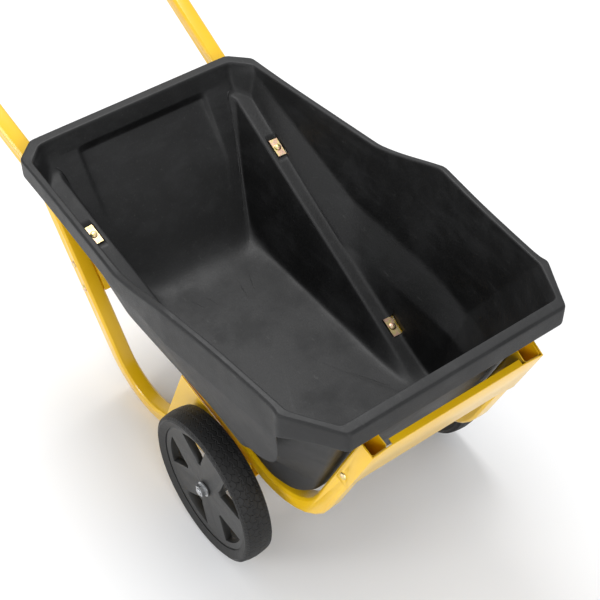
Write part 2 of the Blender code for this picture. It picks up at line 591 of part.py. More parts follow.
def build_side(cart, side_name, side):
    """One frame tube, leg and axle plate with their fasteners."""
    frame = add_empty("side_frame_" + side_name, cart, matrix=side_frame_matrix(side))
    tube = add_object("frame_tube_" + side_name, swept_tube("frame_tube", frame_moves(), frame_start()), "yellow",
                      frame)
    leg_plane = add_empty("leg_plane_" + side_name, cart, matrix=leg_matrix(side))
    leg = add_object("leg_" + side_name, swept_tube("leg", leg_moves(), leg_start()), "yellow", leg_plane)
    envelope_size = TUBE + 2 * GAP
    cutter("frame_envelope_" + side_name,
           swept_tube("frame_envelope", frame_moves(), frame_start(), envelope_size, GAP, None), frame)
    underside = Vector((0, FRAME_REAR, frame_centre(FRAME_REAR))) - SLOPE_NORMAL * (TUBE / 2 + GAP)
    boolean(leg, half_space("leg_trim_" + side_name, underside, SLOPE_NORMAL, frame))

    face = TUBE / 2 + GAP
    axle_plate = prism("axle_plate", axle_plate_outline(), side * face, side * (face + AXLE_PLATE_SHEET), "yz")
    axle_plate = add_object("axle_plate_" + side_name, axle_plate, "yellow", leg_plane)
    axle_hole = cutter("axle_hole_" + side_name, rod("axle_hole", AXLE_RADIUS + GAP, -4 * TUBE, 4 * TUBE), cart,
                       Matrix.Translation((side * LEG_X, 0, WHEEL_RADIUS)))
    boolean(leg, axle_hole)
    boolean(axle_plate, axle_hole)

    tilt = Matrix.Rotation(FRAME_SLOPE, 4, "X")
    stand = Matrix.Rotation(math.pi / 2, 4, "Y")
    for place_name, reach in (("rear", TUB_BOLT_REAR), ("front", TUB_BOLT_FRONT)):
        seat = Vector((0, reach, frame_centre(reach)))
        lift = TUBE / 2 + TUB_WALL + 3 * GAP - POCKET_DEPTH
        suffix = f"{place_name}_{side_name}"
        plate_place = Matrix.Translation(seat) @ tilt @ Matrix.Translation((0, 0, lift))
        outline = rectangle(PLATE_WIDTH / 2, PLATE_LENGTH / 2)
        plate = add_object("tub_plate_" + suffix, prism("tub_plate", outline, 0, PLATE_THICK), "zinc", frame,
                           plate_place)
        room = rectangle(PLATE_WIDTH / 2 + PLATE_ROOM, PLATE_LENGTH / 2 + PLATE_ROOM)
        cutter("tub_pocket_" + suffix, prism("tub_pocket", room, -GAP, 5 * PLATE_THICK), frame, plate_place)
        hole = cutter("tub_bolt_hole_" + suffix, rod("tub_bolt_hole", TUB_BOLT_RADIUS + GAP, -2 * TUBE, 2 * TUBE),
                      frame, Matrix.Translation(seat) @ tilt @ stand)
        boolean(plate, hole)
        boolean(tube, hole)
        grip = PLATE_THICK + lift + TUBE / 2 + GAP + NUT_HEIGHT + BOLT_END
        head_place = plate_place @ Matrix.Translation((0, 0, PLATE_THICK + GAP)) @ stand
        add_object("tub_bolt_" + suffix, bolt_mesh("tub_bolt", TUB_BOLT_RADIUS, TUB_BOLT_HEAD, grip), "zinc", frame,
                   head_place)
        nut_place = Matrix.Translation(seat) @ tilt @ Matrix.Translation((0, 0, -TUBE / 2 - GAP)) @ stand
        add_object("tub_nut_" + suffix, nut_mesh("tub_nut", NUT_FLATS, NUT_HEIGHT, TUB_BOLT_RADIUS + GAP), "zinc",
                   frame, nut_place)

    inward = Matrix.Rotation(0 if side < 0 else math.pi, 4, "Z")
    for place_name, offset in (("upper", BRACE_BOLT_PITCH / 2), ("lower", -BRACE_BOLT_PITCH / 2)):
        place = leg_point(BRACE_HEIGHT + offset * math.sin(LEG_RAKE))
        suffix = f"{place_name}_{side_name}"
        hole = cross_hole("brace_hole_" + suffix, BOLT_RADIUS + GAP, leg_plane, place)
        boolean(leg, hole)
        boolean(bpy.data.objects["leg_brace"], hole)
        grip = TUBE + 2 * GAP + BRACE_SHEET + GAP + NUT_HEIGHT + BOLT_END
        start = Matrix.Translation(place) @ inward
        add_object("brace_bolt_" + suffix, bolt_mesh("brace_bolt", BOLT_RADIUS, BOLT_HEAD, grip), "zinc", leg_plane,
                   start @ Matrix.Translation((-TUBE / 2 - GAP, 0, 0)))
        nut_start = TUBE / 2 + 3 * GAP + BRACE_SHEET
        add_object("brace_nut_" + suffix, nut_mesh("brace_nut", NUT_FLATS, NUT_HEIGHT, BOLT_RADIUS + GAP), "zinc",
                   leg_plane, start @ Matrix.Translation((nut_start, 0, 0)))

    place = nose_point(NOSE_BOLT_HEIGHT)
    hole = cross_hole("nose_hole_" + side_name, BOLT_RADIUS + GAP, frame, place)
    boolean(tube, hole)
    boolean(bpy.data.objects["nose_plate"], hole)
    skin = NOSE_PLATE_SHEET + 2 * GAP
    grip = skin + TUBE + 2 * GAP + NUT_HEIGHT + BOLT_END
    start = Matrix.Translation(place) @ inward
    add_object("nose_bolt_" + side_name, bolt_mesh("nose_bolt", BOLT_RADIUS, BOLT_HEAD, grip), "zinc", frame,
               start @ Matrix.Translation((-TUBE / 2 - skin, 0, 0)))
    add_object("nose_nut_" + side_name, nut_mesh("nose_nut", NUT_FLATS, NUT_HEIGHT, BOLT_RADIUS + GAP), "zinc", frame,
               start @ Matrix.Translation((TUBE / 2 + GAP, 0, 0)))

    build_splice(frame, tube, side_name, inward)


def build_splice(frame, tube, side_name, inward):
    """The inner sleeve that joins the handle to one frame tube, with its bolt and nut."""
    size = TUBE - 2 * TUBE_WALL - 2 * SPLICE_PLAY
    start = Vector((0, FRAME_REAR, frame_centre(FRAME_REAR))) - SLOPE_DIRECTION * SPLICE_LENGTH / 2
    mesh = swept_tube("handle_splice", [("run", SPLICE_LENGTH)], along(start, SLOPE_DIRECTION), size,
                      TUBE_CORNER - TUBE_WALL)
    splice = add_object("handle_splice_" + side_name, mesh, "steel", frame)
    place = Vector((0, FRAME_REAR, frame_centre(FRAME_REAR))) + SLOPE_DIRECTION * SPLICE_LENGTH / 4
    hole = cross_hole("handle_hole_" + side_name, BOLT_RADIUS + 2 * GAP, frame, place)
    boolean(splice, hole)
    boolean(bpy.data.objects["handle_loop"], hole)
    stand_off = TUBE / 2 + 4 * GAP
    grip = 2 * stand_off + NUT_HEIGHT + BOLT_END
    start = Matrix.Translation(place) @ inward
    add_object("handle_bolt_" + side_name, bolt_mesh("handle_bolt", BOLT_RADIUS, BOLT_HEAD, grip), "zinc", frame,
               start @ Matrix.Translation((-stand_off, 0, 0)))
    add_object("handle_nut_" + side_name, nut_mesh("handle_nut", NUT_FLATS, NUT_HEIGHT, BOLT_RADIUS + GAP), "zinc",
               frame, start @ Matrix.Translation((stand_off, 0, 0)))


# ---------------------------------------------------------------- handle, brace, nose plate and axle
def build_handle(cart):
    """The bent handle loop and its grip, in the sloping plane of the frame tubes."""
    slope = math.atan(math.tan(FRAME_SLOPE) / math.cos(FRAME_SPLAY))
    plane = Matrix.Translation((0, 0, FRAME_HEIGHT)) @ Matrix.Rotation(slope, 4, "X")
    holder = add_empty("handle_plane", cart, matrix=plane)
    splay = math.asin(math.sin(FRAME_SPLAY) * math.cos(FRAME_SLOPE))
    start_y = (FRAME_REAR * math.cos(FRAME_SPLAY)) / math.cos(slope) + 2 * GAP
    end_y = HANDLE_REACH / math.cos(slope)
    start_x = FRAME_X + start_y * math.tan(splay)
    corner_x = FRAME_X + end_y * math.tan(splay)
    turn = math.pi / 2 + splay
    cut = HANDLE_BEND * math.tan(turn / 2)
    side_run = (end_y - start_y) / math.cos(splay) - cut
    cross_run = 2 * (corner_x - cut)
    direction = Vector((math.sin(splay), math.cos(splay), 0))
    moves = [("run", side_run), ("bend", turn, HANDLE_BEND, "Z"), ("run", cross_run),
             ("bend", turn, HANDLE_BEND, "Z"), ("run", side_run)]
    loop = swept_tube("handle_loop", moves, along(Vector((start_x, start_y, 0)), direction))
    add_object("handle_loop", loop, "yellow", holder)
    grip_size = TUBE + 2 * GAP
    grip = swept_tube("handle_grip", [("run", GRIP_LENGTH)],
                      along(Vector((-GRIP_LENGTH / 2, end_y, 0)), Vector((1, 0, 0))),
                      grip_size + 2 * GRIP_WALL, TUBE_CORNER + GRIP_WALL, GRIP_WALL)
    add_object("handle_grip", grip, "foam", holder)


def build_brace(cart):
    """Sheet brace between the legs: a web with a flange against the inner face of each leg."""
    lie = leg_matrix(1)
    place = leg_point(BRACE_HEIGHT)
    middle = lie @ place
    centre = Vector((0, middle.y, middle.z))
    rise = Vector((0, math.cos(LEG_RAKE), math.sin(LEG_RAKE)))
    across = Vector((0, math.sin(LEG_RAKE), -math.cos(LEG_RAKE)))
    face = TUBE / 2 + 2 * GAP
    front = -TUBE / 2
    bm = bmesh.new()
    levels = []
    for level in (-BRACE_DEPTH / 2, BRACE_DEPTH / 2):
        half = []
        for depth, width in ((face, front), (face, -front), (face + BRACE_SHEET, -front),
                             (face + BRACE_SHEET, front + BRACE_SHEET)):
            half.append(lie @ (place - Vector((depth, 0, 0)) + rise * level + across * width) - centre)
        mirrored = [Vector((-point.x, point.y, point.z)) for point in reversed(half)]
        levels.append([bm.verts.new(point) for point in half + mirrored])
    bm.faces.new(levels[0])
    bm.faces.new(levels[1])
    for i in range(len(levels[0])):
        j = (i + 1) % len(levels[0])
        bm.faces.new((levels[0][i], levels[0][j], levels[1][j], levels[1][i]))
    bm.normal_update()
    bmesh.ops.triangulate(bm, faces=bm.faces)
    add_object("leg_brace", finish_mesh(bm, "leg_brace"), "yellow", cart, Matrix.Translation(centre))


def nose_plate_half(height):
    """The +X half of the nose plate's outline, cut square across the tubes at a height of their centre lines."""
    tube = side_frame_matrix(1)
    centre = nose_point(height)
    face = TUBE / 2 + GAP
    outer = face + NOSE_PLATE_SHEET
    crease = -TUBE / 2 - NOSE_CREASE
    flange = TUBE / 2 - NOSE_FLANGE
    corners = ((crease, outer), (outer, outer), (outer, flange), (face, flange), (face, face), (crease, face))
    level = tube @ centre
    rise = tube.to_3x3() @ NOSE_DIRECTION
    half = []
    for x, depth in corners:
        point = tube @ (centre + Vector((x, 0, 0)) + NOSE_FORWARD * depth)
        half.append(point + rise * ((level - point).dot(NOSE_DIRECTION) / rise.dot(NOSE_DIRECTION)))
    return half


def build_nose_plate(cart):
    """Bent sheet across the upturned frame ends: a face, two side flanges and a returned top edge."""
    centre = Vector((0, nose_point(NOSE_PLATE_LOW).y, nose_point(NOSE_PLATE_LOW).z))
    bm = bmesh.new()
    levels = []
    for height in (NOSE_PLATE_LOW, NOSE_PLATE_HIGH):
        half = [point - centre for point in nose_plate_half(height)]
        mirrored = [Vector((-point.x, point.y, point.z)) for point in reversed(half)]
        levels.append([bm.verts.new(point) for point in half + mirrored])
    bm.faces.new(levels[0])
    bm.faces.new(levels[1])
    for i in range(len(levels[0])):
        j = (i + 1) % len(levels[0])
        bm.faces.new((levels[0][i], levels[0][j], levels[1][j], levels[1][i]))
    bm.normal_update()
    bmesh.ops.triangulate(bm, faces=bm.faces)
    plate = add_object("nose_plate", finish_mesh(bm, "nose_plate"), "yellow", cart, Matrix.Translation(centre))
    corner = nose_plate_half(NOSE_PLATE_HIGH)[0]
    middle = nose_plate_half(NOSE_PLATE_HIGH)[-1]
    place = along(Vector((0, corner.y, corner.z)), -NOSE_FORWARD, NOSE_DIRECTION)
    half_return = middle.x - NOSE_CREASE
    sheet = NOSE_PLATE_SHEET
    edge = [(-half_return, sheet / 2), (half_return, sheet / 2), (half_return, NOSE_RETURN), (-half_return, NOSE_RETURN)]
    boolean(plate, cutter("nose_return", prism("nose_return", edge, -GAP - sheet, -GAP), cart, place), "UNION")


def build_axle(cart):
    """The fixed rod that carries both wheels."""
    half = axle_half_length()
    chamfer = 0.001
    profile = [(0, -half), (AXLE_RADIUS - chamfer, -half), (AXLE_RADIUS, -half + chamfer),
               (AXLE_RADIUS, half - chamfer), (AXLE_RADIUS - chamfer, half), (0, half)]
    add_object("axle", lathe("axle", profile), "zinc", cart, Matrix.Translation((0, 0, WHEEL_RADIUS)))


# ---------------------------------------------------------------- tub
def shoulder_height(y):
    """Height of the tub's inner surface where it rests on the straight frame tubes."""
    return frame_top(y) + (TUB_WALL + 2 * GAP) / math.cos(FRAME_SLOPE)


FLOOR_HEIGHT = NOSE_BEND_CENTRE.z - (NOSE_BEND - TUBE / 2 - TUB_WALL - 2 * GAP)


def rim_height(y):
    """Height of the rim at y: high at the nose, stepping down behind the wheels."""
    marks = [(RIM_NOSE_Y, RIM_HEIGHT_NOSE), (FRONT_OUTER[1], RIM_HEIGHT_FRONT + RIM_SAG),
             (STEP_TOP[1], RIM_HEIGHT_FRONT), (STEP_FOOT[1], RIM_HEIGHT_REAR),
             (BACK_OUTER[1], RIM_HEIGHT_BACK - RIM_SAG), (RIM_BACK_Y, RIM_HEIGHT_BACK)]
    if y <= marks[0][0]:
        return marks[0][1]
    for (y0, z0), (y1, z1) in zip(marks, marks[1:]):
        if y <= y1:
            return z0 + (z1 - z0) * (y - y0) / (y1 - y0)
    return marks[-1][1]


def side_width(y):
    """Half width of the rim's inner edge along the straight sides."""
    marks = [SIDE_RUN_OUT[0], FRONT_CORNER, STEP_TOP, STEP_FOOT, BACK_CORNER, SIDE_RUN_OUT[1]]
    for (x0, y0), (x1, y1) in zip(marks, marks[1:]):
        if y <= y1:
            return x0 + (x1 - x0) * (y - y0) / (y1 - y0)
    return marks[-1][0]


def half_section(y):
    """Right half of the tub's inner outline at y, from below the floor's edge up to the rim."""
    if y > NOSE_BEND_CENTRE.y:
        shoulder = shoulder_height(y)
    else:
        shoulder = FLOOR_HEIGHT - BELOW_FLOOR / 2
    inner = frame_x(y) - TUBE / 2 / math.cos(FRAME_SPLAY) - 2 * GAP - TUB_WALL
    outer = frame_x(y) + SHOULDER_STEP
    high = LEDGE_HIGH[1] + LEDGE_CLIMB * max(y - LEDGE_BEND, 0)
    rim = rim_height(y)
    high = min(high, rim - 0.004)
    if shoulder < LEDGE_LOW[1] - LEDGE_MERGE:
        low = LEDGE_LOW
        outer = min(outer, LEDGE_LOW[0] - 0.022)
    else:
        low = (outer + LEDGE_MERGE, shoulder + LEDGE_MERGE / 2)
    ledge_x = min(LEDGE_HIGH[0], side_width(y) - 0.001)
    bottom = FLOOR_HEIGHT - BELOW_FLOOR
    edge = inner - (inner - FLOOR_HALF_WIDTH) * (shoulder - bottom) / max(shoulder - FLOOR_HEIGHT, BELOW_FLOOR)
    return [(edge, bottom), (inner, shoulder), (outer, shoulder), low, (ledge_x, high), (side_width(y), rim)]


def offset_outline(points, distance):
    """Move an open outline sideways, to the right of its direction, keeping its corners sharp."""
    moved = []
    count = len(points)
    for i, point in enumerate(points):
        here = Vector(point)
        normals = []
        for a, b in ((i - 1, i), (i, i + 1)):
            if a < 0 or b >= count:
                continue
            step = Vector(points[b]) - Vector(points[a])
            normals.append(Vector((step.y, -step.x)).normalized())
        total = sum(normals, Vector((0, 0)))
        bisector = total.normalized()
        moved.append(here + bisector * distance / max(bisector.dot(normals[0]), 0.35))
    return [tuple(point) for point in moved]


BELOW_FLOOR = 0.010             # how far the section runs past the floor, which the side profile cuts off
SECTION_STATIONS = (SIDE_RUN_OUT[0][1], NOSE_BEND_CENTRE.y, NOSE_BEND_START.y, STEP_TOP[1], STEP_MIDDLE, STEP_FOOT[1],
                    LEDGE_BEND, BACK_CORNER[1], SIDE_RUN_OUT[1][1])
CAVITY_TOP = RIM_HEIGHT_NOSE + 0.132    # height that the cutting solids reach, well above the rim


def trough_mesh(name, distance, open_top):
    """Loft of the tub's cross-sections moved out by a distance; open_top carries it up past the rim."""
    bm = bmesh.new()
    rings = []
    for y in SECTION_STATIONS:
        half = [(0.0, FLOOR_HEIGHT - BELOW_FLOOR)] + half_section(y)
        half = offset_outline(half, distance)[1:]
        if open_top:
            half.append((half[-1][0] + 0.01, CAVITY_TOP))
        else:
            half[-1] = (half[-1][0], rim_height(y) - TUB_WALL / 2)
        right = [bm.verts.new((x, y, z)) for x, z in half]
        left = [bm.verts.new((-x, y, z)) for x, z in reversed(half)]
        rings.append(right + left)
    count = len(rings[0])
    for one, two in zip(rings, rings[1:]):
        for i in range(count):
            j = (i + 1) % count
            bm.faces.new((one[i], one[j], two[j], two[i]))
    bm.faces.new(rings[0])
    bm.faces.new(rings[-1])
    bm.normal_update()
    bmesh.ops.triangulate(bm, faces=bm.faces)
    return finish_mesh(bm, name)


def side_profile(distance):
    """The tub's inner outline seen from the side, moved out by a distance: a closed (y, z) outline."""
    radius = NOSE_BEND - TUBE / 2 - TUB_WALL - 2 * GAP + distance
    centre = NOSE_BEND_CENTRE
    steps = 10
    points = []
    for step in range(steps + 1):
        angle = NOSE_ANGLE * step / steps
        points.append((centre.y - radius * math.sin(angle), centre.z - radius * math.cos(angle)))
    last = Vector(points[-1])
    kink = last + Vector((-math.cos(NOSE_ANGLE), math.sin(NOSE_ANGLE))) * ((NOSE_KINK - last.y) / math.sin(NOSE_ANGLE))
    points.append(tuple(kink))
    lip = RIM_NOSE_Y + RIM_LAND_ENDS - distance
    points.append((lip, RIM_HEIGHT_NOSE))
    points.append((lip - 0.01, CAVITY_TOP + 0.02))
    run = (CAVITY_TOP + 0.02 - FLOOR_HEIGHT + distance) / math.tan(BACK_RAKE)
    back = FLOOR_REAR + distance / math.sin(BACK_RAKE) - distance / math.tan(BACK_RAKE)
    points.append((back + run, CAVITY_TOP + 0.02))
    fillet = BACK_FILLET + distance
    turn = BACK_RAKE
    tangent = fillet * math.tan(turn / 2)
    floor_z = FLOOR_HEIGHT - distance
    for step in range(6, -1, -1):
        angle = turn * step / 6
        points.append((back - tangent + fillet * math.sin(angle), floor_z + fillet * (1 - math.cos(angle))))
    return points


def half_space(name, point, normal, parent):
    """A large block whose near face passes through a point, beyond a plane with the given outward normal."""
    size = 1.2
    bm = bmesh.new()
    bmesh.ops.create_cube(bm, size=size)
    bmesh.ops.translate(bm, vec=(0, size / 2, 0), verts=bm.verts)
    return cutter(name, finish_mesh(bm, name), parent, along(Vector(point), Vector(normal)))


def corner_planes(side, distance):
    """Planes of one side's front and back corner walls, moved out by a distance."""
    front_point = Vector((NOSE_CORNER_X, RIM_NOSE_Y + RIM_LAND_ENDS, RIM_HEIGHT_NOSE))
    front_edge = Vector((*FRONT_CORNER, 0)) - Vector((front_point.x, front_point.y, 0))
    back_point = Vector((BACK_CORNER_X, RIM_BACK_Y - BACK_CORNER_SETBACK, RIM_HEIGHT_BACK))
    back_edge = Vector((back_point.x, back_point.y, 0)) - Vector((*BACK_CORNER, 0))
    planes = []
    for point, edge, rake in ((front_point, front_edge, FRONT_CORNER_RAKE), (back_point, back_edge, BACK_CORNER_RAKE)):
        outward = Vector((edge.y, -edge.x, 0)).normalized()
        normal = outward * math.sin(rake) - Vector((0, 0, math.cos(rake)))
        place = point + normal * distance
        planes.append((Vector((side * place.x, place.y, place.z)), Vector((side * normal.x, normal.y, normal.z))))
    return planes


def rim_stations():
    """Corners of the rim on the +X side, from the back to the nose.

    Each one has the outer point, the inner point, the skirt's depth and the apron's lower edge, if it has one.
    """
    back_skirt = RIM_HEIGHT_BACK - frame_top(RIM_BACK_Y) - SKIRT_LIFT - SKIRT_HEM
    step_top, step_foot = STEP_TOP[1], STEP_FOOT[1]

    def side(y, depth, foot=None, flare=0.0):
        return Vector((side_width(y) + RIM_LAND + flare, y)), Vector((side_width(y), y)), depth, foot

    return [
        (Vector((BACK_OUTER_X, RIM_BACK_Y)), Vector((BACK_CORNER_X, RIM_BACK_Y - RIM_LAND_ENDS)), back_skirt, None),
        (Vector(BACK_OUTER), Vector(BACK_CORNER), SKIRT, None),
        side(step_foot, SKIRT),
        side(STEP_MIDDLE, STEP_SKIRT, STEP_FOOT_EDGE),
        side(step_top, APRON_FOLD, APRON_FOOT),
        side(APRON_FRONT, APRON_FOLD, (APRON_FOOT[0] - APRON_FRONT_TUCK, APRON_FOOT[1]), APRON_FRONT_FLARE),
        (Vector(FRONT_OUTER), Vector(FRONT_CORNER), SKIRT, None),
        (Vector((NOSE_OUTER_X, RIM_NOSE_Y)), Vector((NOSE_INNER_X, RIM_NOSE_Y + RIM_LAND_ENDS)), SKIRT, None),
    ]


def rim_section(outer, inner, depth, foot):
    """Eight points of the rim's section at one corner: land, skirt and apron, then back up inside."""
    top = rim_height(outer.y)
    inward = (inner - outer).normalized()
    seat = inner + inward * TUB_WALL
    wall = outer + inward * TUB_WALL
    fold = top - depth
    if foot is None:
        hem = outer + inward * SKIRT_HEM
        hem_inner = outer + inward * (TUB_WALL + SKIRT_HEM)
        hem_z = fold - SKIRT_HEM
        low = [(hem, hem_z), (hem_inner, hem_z)]
    else:
        foot_point = Vector((foot[0], outer.y))
        foot_inner = foot_point + Vector((-1, 0)) * TUB_WALL * 0.8
        low = [(foot_point, foot[1]), (foot_inner, foot[1] + 0.001)]
    points = [(seat, top), (outer, top), (outer, fold)] + low + [(wall, fold + 0.001), (wall, top - TUB_WALL),
                                                                 (seat, top - TUB_WALL)]
    return [Vector((p.x, p.y, z)) for p, z in points]


def rim_mesh():
    """The rim as one closed ring of land, skirt and side aprons."""
    bm = bmesh.new()
    sections = [rim_section(*station) for station in rim_stations()]
    mirrored = [[Vector((-p.x, p.y, p.z)) for p in section] for section in reversed(sections)]
    rings = [[bm.verts.new(p) for p in section] for section in sections + mirrored]
    count = len(rings[0])
    for one, two in zip(rings, rings[1:] + rings[:1]):
        for i in range(count):
            j = (i + 1) % count
            bm.faces.new((one[i], one[j], two[j], two[i]))
    bm.normal_update()
    bmesh.ops.triangulate(bm, faces=bm.faces)
    return finish_mesh(bm, "rim")


def trim_trough(body, distance, cart):
    """Cut a trough solid to the tub's side profile and corner walls, moved out by a distance."""
    profile = prism(body.name + "_profile", side_profile(distance), -0.6, 0.6, "yz")
    boolean(body, cutter(body.name + "_profile", profile, cart), "INTERSECT")
    for side in (-1, 1):
        for index, (point, normal) in enumerate(corner_planes(side, distance)):
            boolean(body, half_space(f"{body.name}_corner_{side + 1}_{index}", point, normal, cart))


def recess_block(name, depth, margin, cart):
    """A block lying in the back wall's plane, for the recessed panel and the pad behind it."""
    slope = Vector((0, math.cos(BACK_RAKE), math.sin(BACK_RAKE)))
    out = Vector((0, math.sin(BACK_RAKE), -math.cos(BACK_RAKE)))
    foot = Vector((0, FLOOR_REAR, FLOOR_HEIGHT))
    wall_length = (RIM_HEIGHT_BACK - FLOOR_HEIGHT) / math.sin(BACK_RAKE)
    middle = foot + slope * (wall_length - RECESS_TOP - RECESS_LENGTH / 2)
    outline = rectangle(RECESS_HALF_WIDTH + margin, RECESS_LENGTH / 2 + margin)
    block = prism(name, outline, -0.002, depth)
    return cutter(name, block, cart, along(middle, slope, out))


def build_tub(cart):
    """Single-wall moulded tub with its rim, resting on the two frame tubes."""
    tub = add_object("tub", trough_mesh("tub", TUB_WALL, False), "tub", cart)
    trim_trough(tub, TUB_WALL, cart)
    boolean(tub, recess_block("recess_pad", RECESS_DEPTH + TUB_WALL, TUB_WALL, cart), "UNION")
    boolean(tub, cutter("rim_ring", rim_mesh(), cart), "UNION")
    cavity = cutter("tub_cavity", trough_mesh("tub_cavity", 0.0, True), cart)
    trim_trough(cavity, 0.0, cart)
    boolean(tub, cavity)
    boolean(tub, recess_block("recess", RECESS_DEPTH, 0.0, cart))
    for side_name in ("right", "left"):
        boolean(tub, bpy.data.objects["frame_envelope_" + side_name])
        for place_name in ("rear", "front"):
            boolean(tub, bpy.data.objects[f"tub_pocket_{place_name}_{side_name}"])
            boolean(tub, bpy.data.objects[f"tub_bolt_hole_{place_name}_{side_name}"])


def main():
    """Build the whole cart."""
    for obj in list(bpy.data.objects):
        bpy.data.objects.remove(obj, do_unlink=True)
    cart = add_empty("cart", location=(0, origin_shift(), 0))
    build_axle(cart)
    build_handle(cart)
    build_brace(cart)
    build_nose_plate(cart)
    for side_name, side in (("right", -1), ("left", 1)):
        build_side(cart, side_name, side)
        build_wheel(cart, side_name, side)
    build_tub(cart)
    bpy.context.view_layer.update()


main()
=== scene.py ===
"""Looks of a two-wheeled garden cart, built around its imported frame.

The frame stands on the ground at z = 0.  -Y is the nose, +Y the push handle.  All sizes are in metres.
"""
import json
import logging
import math
from dataclasses import dataclass, field
from enum import Enum
from typing import Optional, Sequence, Union

import bmesh
import bpy
from mathutils import Matrix, Vector


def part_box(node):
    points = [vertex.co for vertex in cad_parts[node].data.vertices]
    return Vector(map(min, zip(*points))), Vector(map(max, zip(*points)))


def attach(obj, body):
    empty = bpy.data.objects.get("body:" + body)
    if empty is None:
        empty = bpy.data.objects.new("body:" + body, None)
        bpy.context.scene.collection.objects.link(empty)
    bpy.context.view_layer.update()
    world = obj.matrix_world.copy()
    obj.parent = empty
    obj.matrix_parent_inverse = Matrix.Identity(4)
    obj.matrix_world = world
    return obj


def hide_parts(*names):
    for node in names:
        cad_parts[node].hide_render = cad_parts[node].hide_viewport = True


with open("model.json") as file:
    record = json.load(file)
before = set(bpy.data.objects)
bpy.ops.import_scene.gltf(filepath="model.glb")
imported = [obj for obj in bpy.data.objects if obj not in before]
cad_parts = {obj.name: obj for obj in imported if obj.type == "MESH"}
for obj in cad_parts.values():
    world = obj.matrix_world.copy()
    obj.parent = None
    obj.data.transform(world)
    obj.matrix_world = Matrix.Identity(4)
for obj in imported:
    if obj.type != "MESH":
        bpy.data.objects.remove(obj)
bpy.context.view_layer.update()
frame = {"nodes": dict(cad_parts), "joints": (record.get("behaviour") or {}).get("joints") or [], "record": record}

LOG = logging.getLogger("cart")
Number = Union[int, float]
Ring = list[Vector]

# Points closer than this are merged: in a new skin, and in a copy of a frame node.
SKIN_MERGE = 1e-6
COPY_MERGE = 2e-5
# Shading angles in degrees: no edge stays sharp, and the edges of rounded copies stay sharp above this.
SMOOTH_ALL = 180.0
SMOOTH_COPY = 35.0


class Side(Enum):
    """The two sides of the cart; the value is the sign of X."""

    RIGHT = -1
    LEFT = 1

    @property
    def word(self) -> str:
        """Name used in node names."""
        return self.name.lower()


# ------------------------------------------------------------------ shader maths
class Wire:
    """A shader value that can be used in Python arithmetic."""

    def __init__(self, paint: "Paint", socket: bpy.types.NodeSocket) -> None:
        """Keep a socket and the paint whose nodes it belongs to.

        Args:
            paint: The node builder.
            socket: The output socket.
        """
        self.paint = paint
        self.socket = socket

    def _math(self, operation: str, other: "Union[Wire, Number, None]" = None, swap: bool = False) -> "Wire":
        """Add one Math node.

        Args:
            operation: The node's operation.
            other: The second value, if the operation has one.
            swap: Whether the two values change places.

        Returns:
            The node's result.
        """
        values = [self] if other is None else [self, other]
        if swap:
            values.reverse()
        return self.paint.node("ShaderNodeMath", {"operation": operation}, dict(enumerate(values)))

    def __add__(self, other: "Union[Wire, Number]") -> "Wire":
        """Sum."""
        return self._math("ADD", other)

    __radd__ = __add__

    def __sub__(self, other: "Union[Wire, Number]") -> "Wire":
        """Difference."""
        return self._math("SUBTRACT", other)

    def __rsub__(self, other: Number) -> "Wire":
        """Difference from a number."""
        return self._math("SUBTRACT", other, swap=True)

    def __mul__(self, other: "Union[Wire, Number]") -> "Wire":
        """Product."""
        return self._math("MULTIPLY", other)

    __rmul__ = __mul__

    def __truediv__(self, other: "Union[Wire, Number]") -> "Wire":
        """Quotient."""
        return self._math("DIVIDE", other)

    def __abs__(self) -> "Wire":
        """Absolute value."""
        return self._math("ABSOLUTE")

    def fract(self) -> "Wire":
        """Part after the decimal point."""
        return self._math("FRACT")

    def floor(self) -> "Wire":
        """Whole part."""
        return self._math("FLOOR")

    def power(self, exponent: Number) -> "Wire":
        """Power."""
        return self._math("POWER", exponent)

    def angle(self, other: "Wire") -> "Wire":
        """Angle of the point (other, self)."""
        return self._math("ARCTAN2", other)

    def minimum(self, other: "Union[Wire, Number]") -> "Wire":
        """Smaller of two values."""
        return self._math("MINIMUM", other)

    def maximum(self, other: "Union[Wire, Number]") -> "Wire":
        """Larger of two values."""
        return self._math("MAXIMUM", other)

    def band(self, low: Number, high: Number, to_low: Number = 0.0, to_high: Number = 1.0) -> "Wire":
        """Smooth step between two values.

        Args:
            low: Value that gives to_low.
            high: Value that gives to_high.
            to_low: Result below the band.
            to_high: Result above the band.

        Returns:
            The stepped value.
        """
        settings = {"interpolation_type": "SMOOTHSTEP", "clamp": True}
        return self.paint.node("ShaderNodeMapRange", settings,
                               {"Value": self, "From Min": low, "From Max": high, "To Min": to_low,
                                "To Max": to_high})


Value = Union[Wire, Number, tuple]


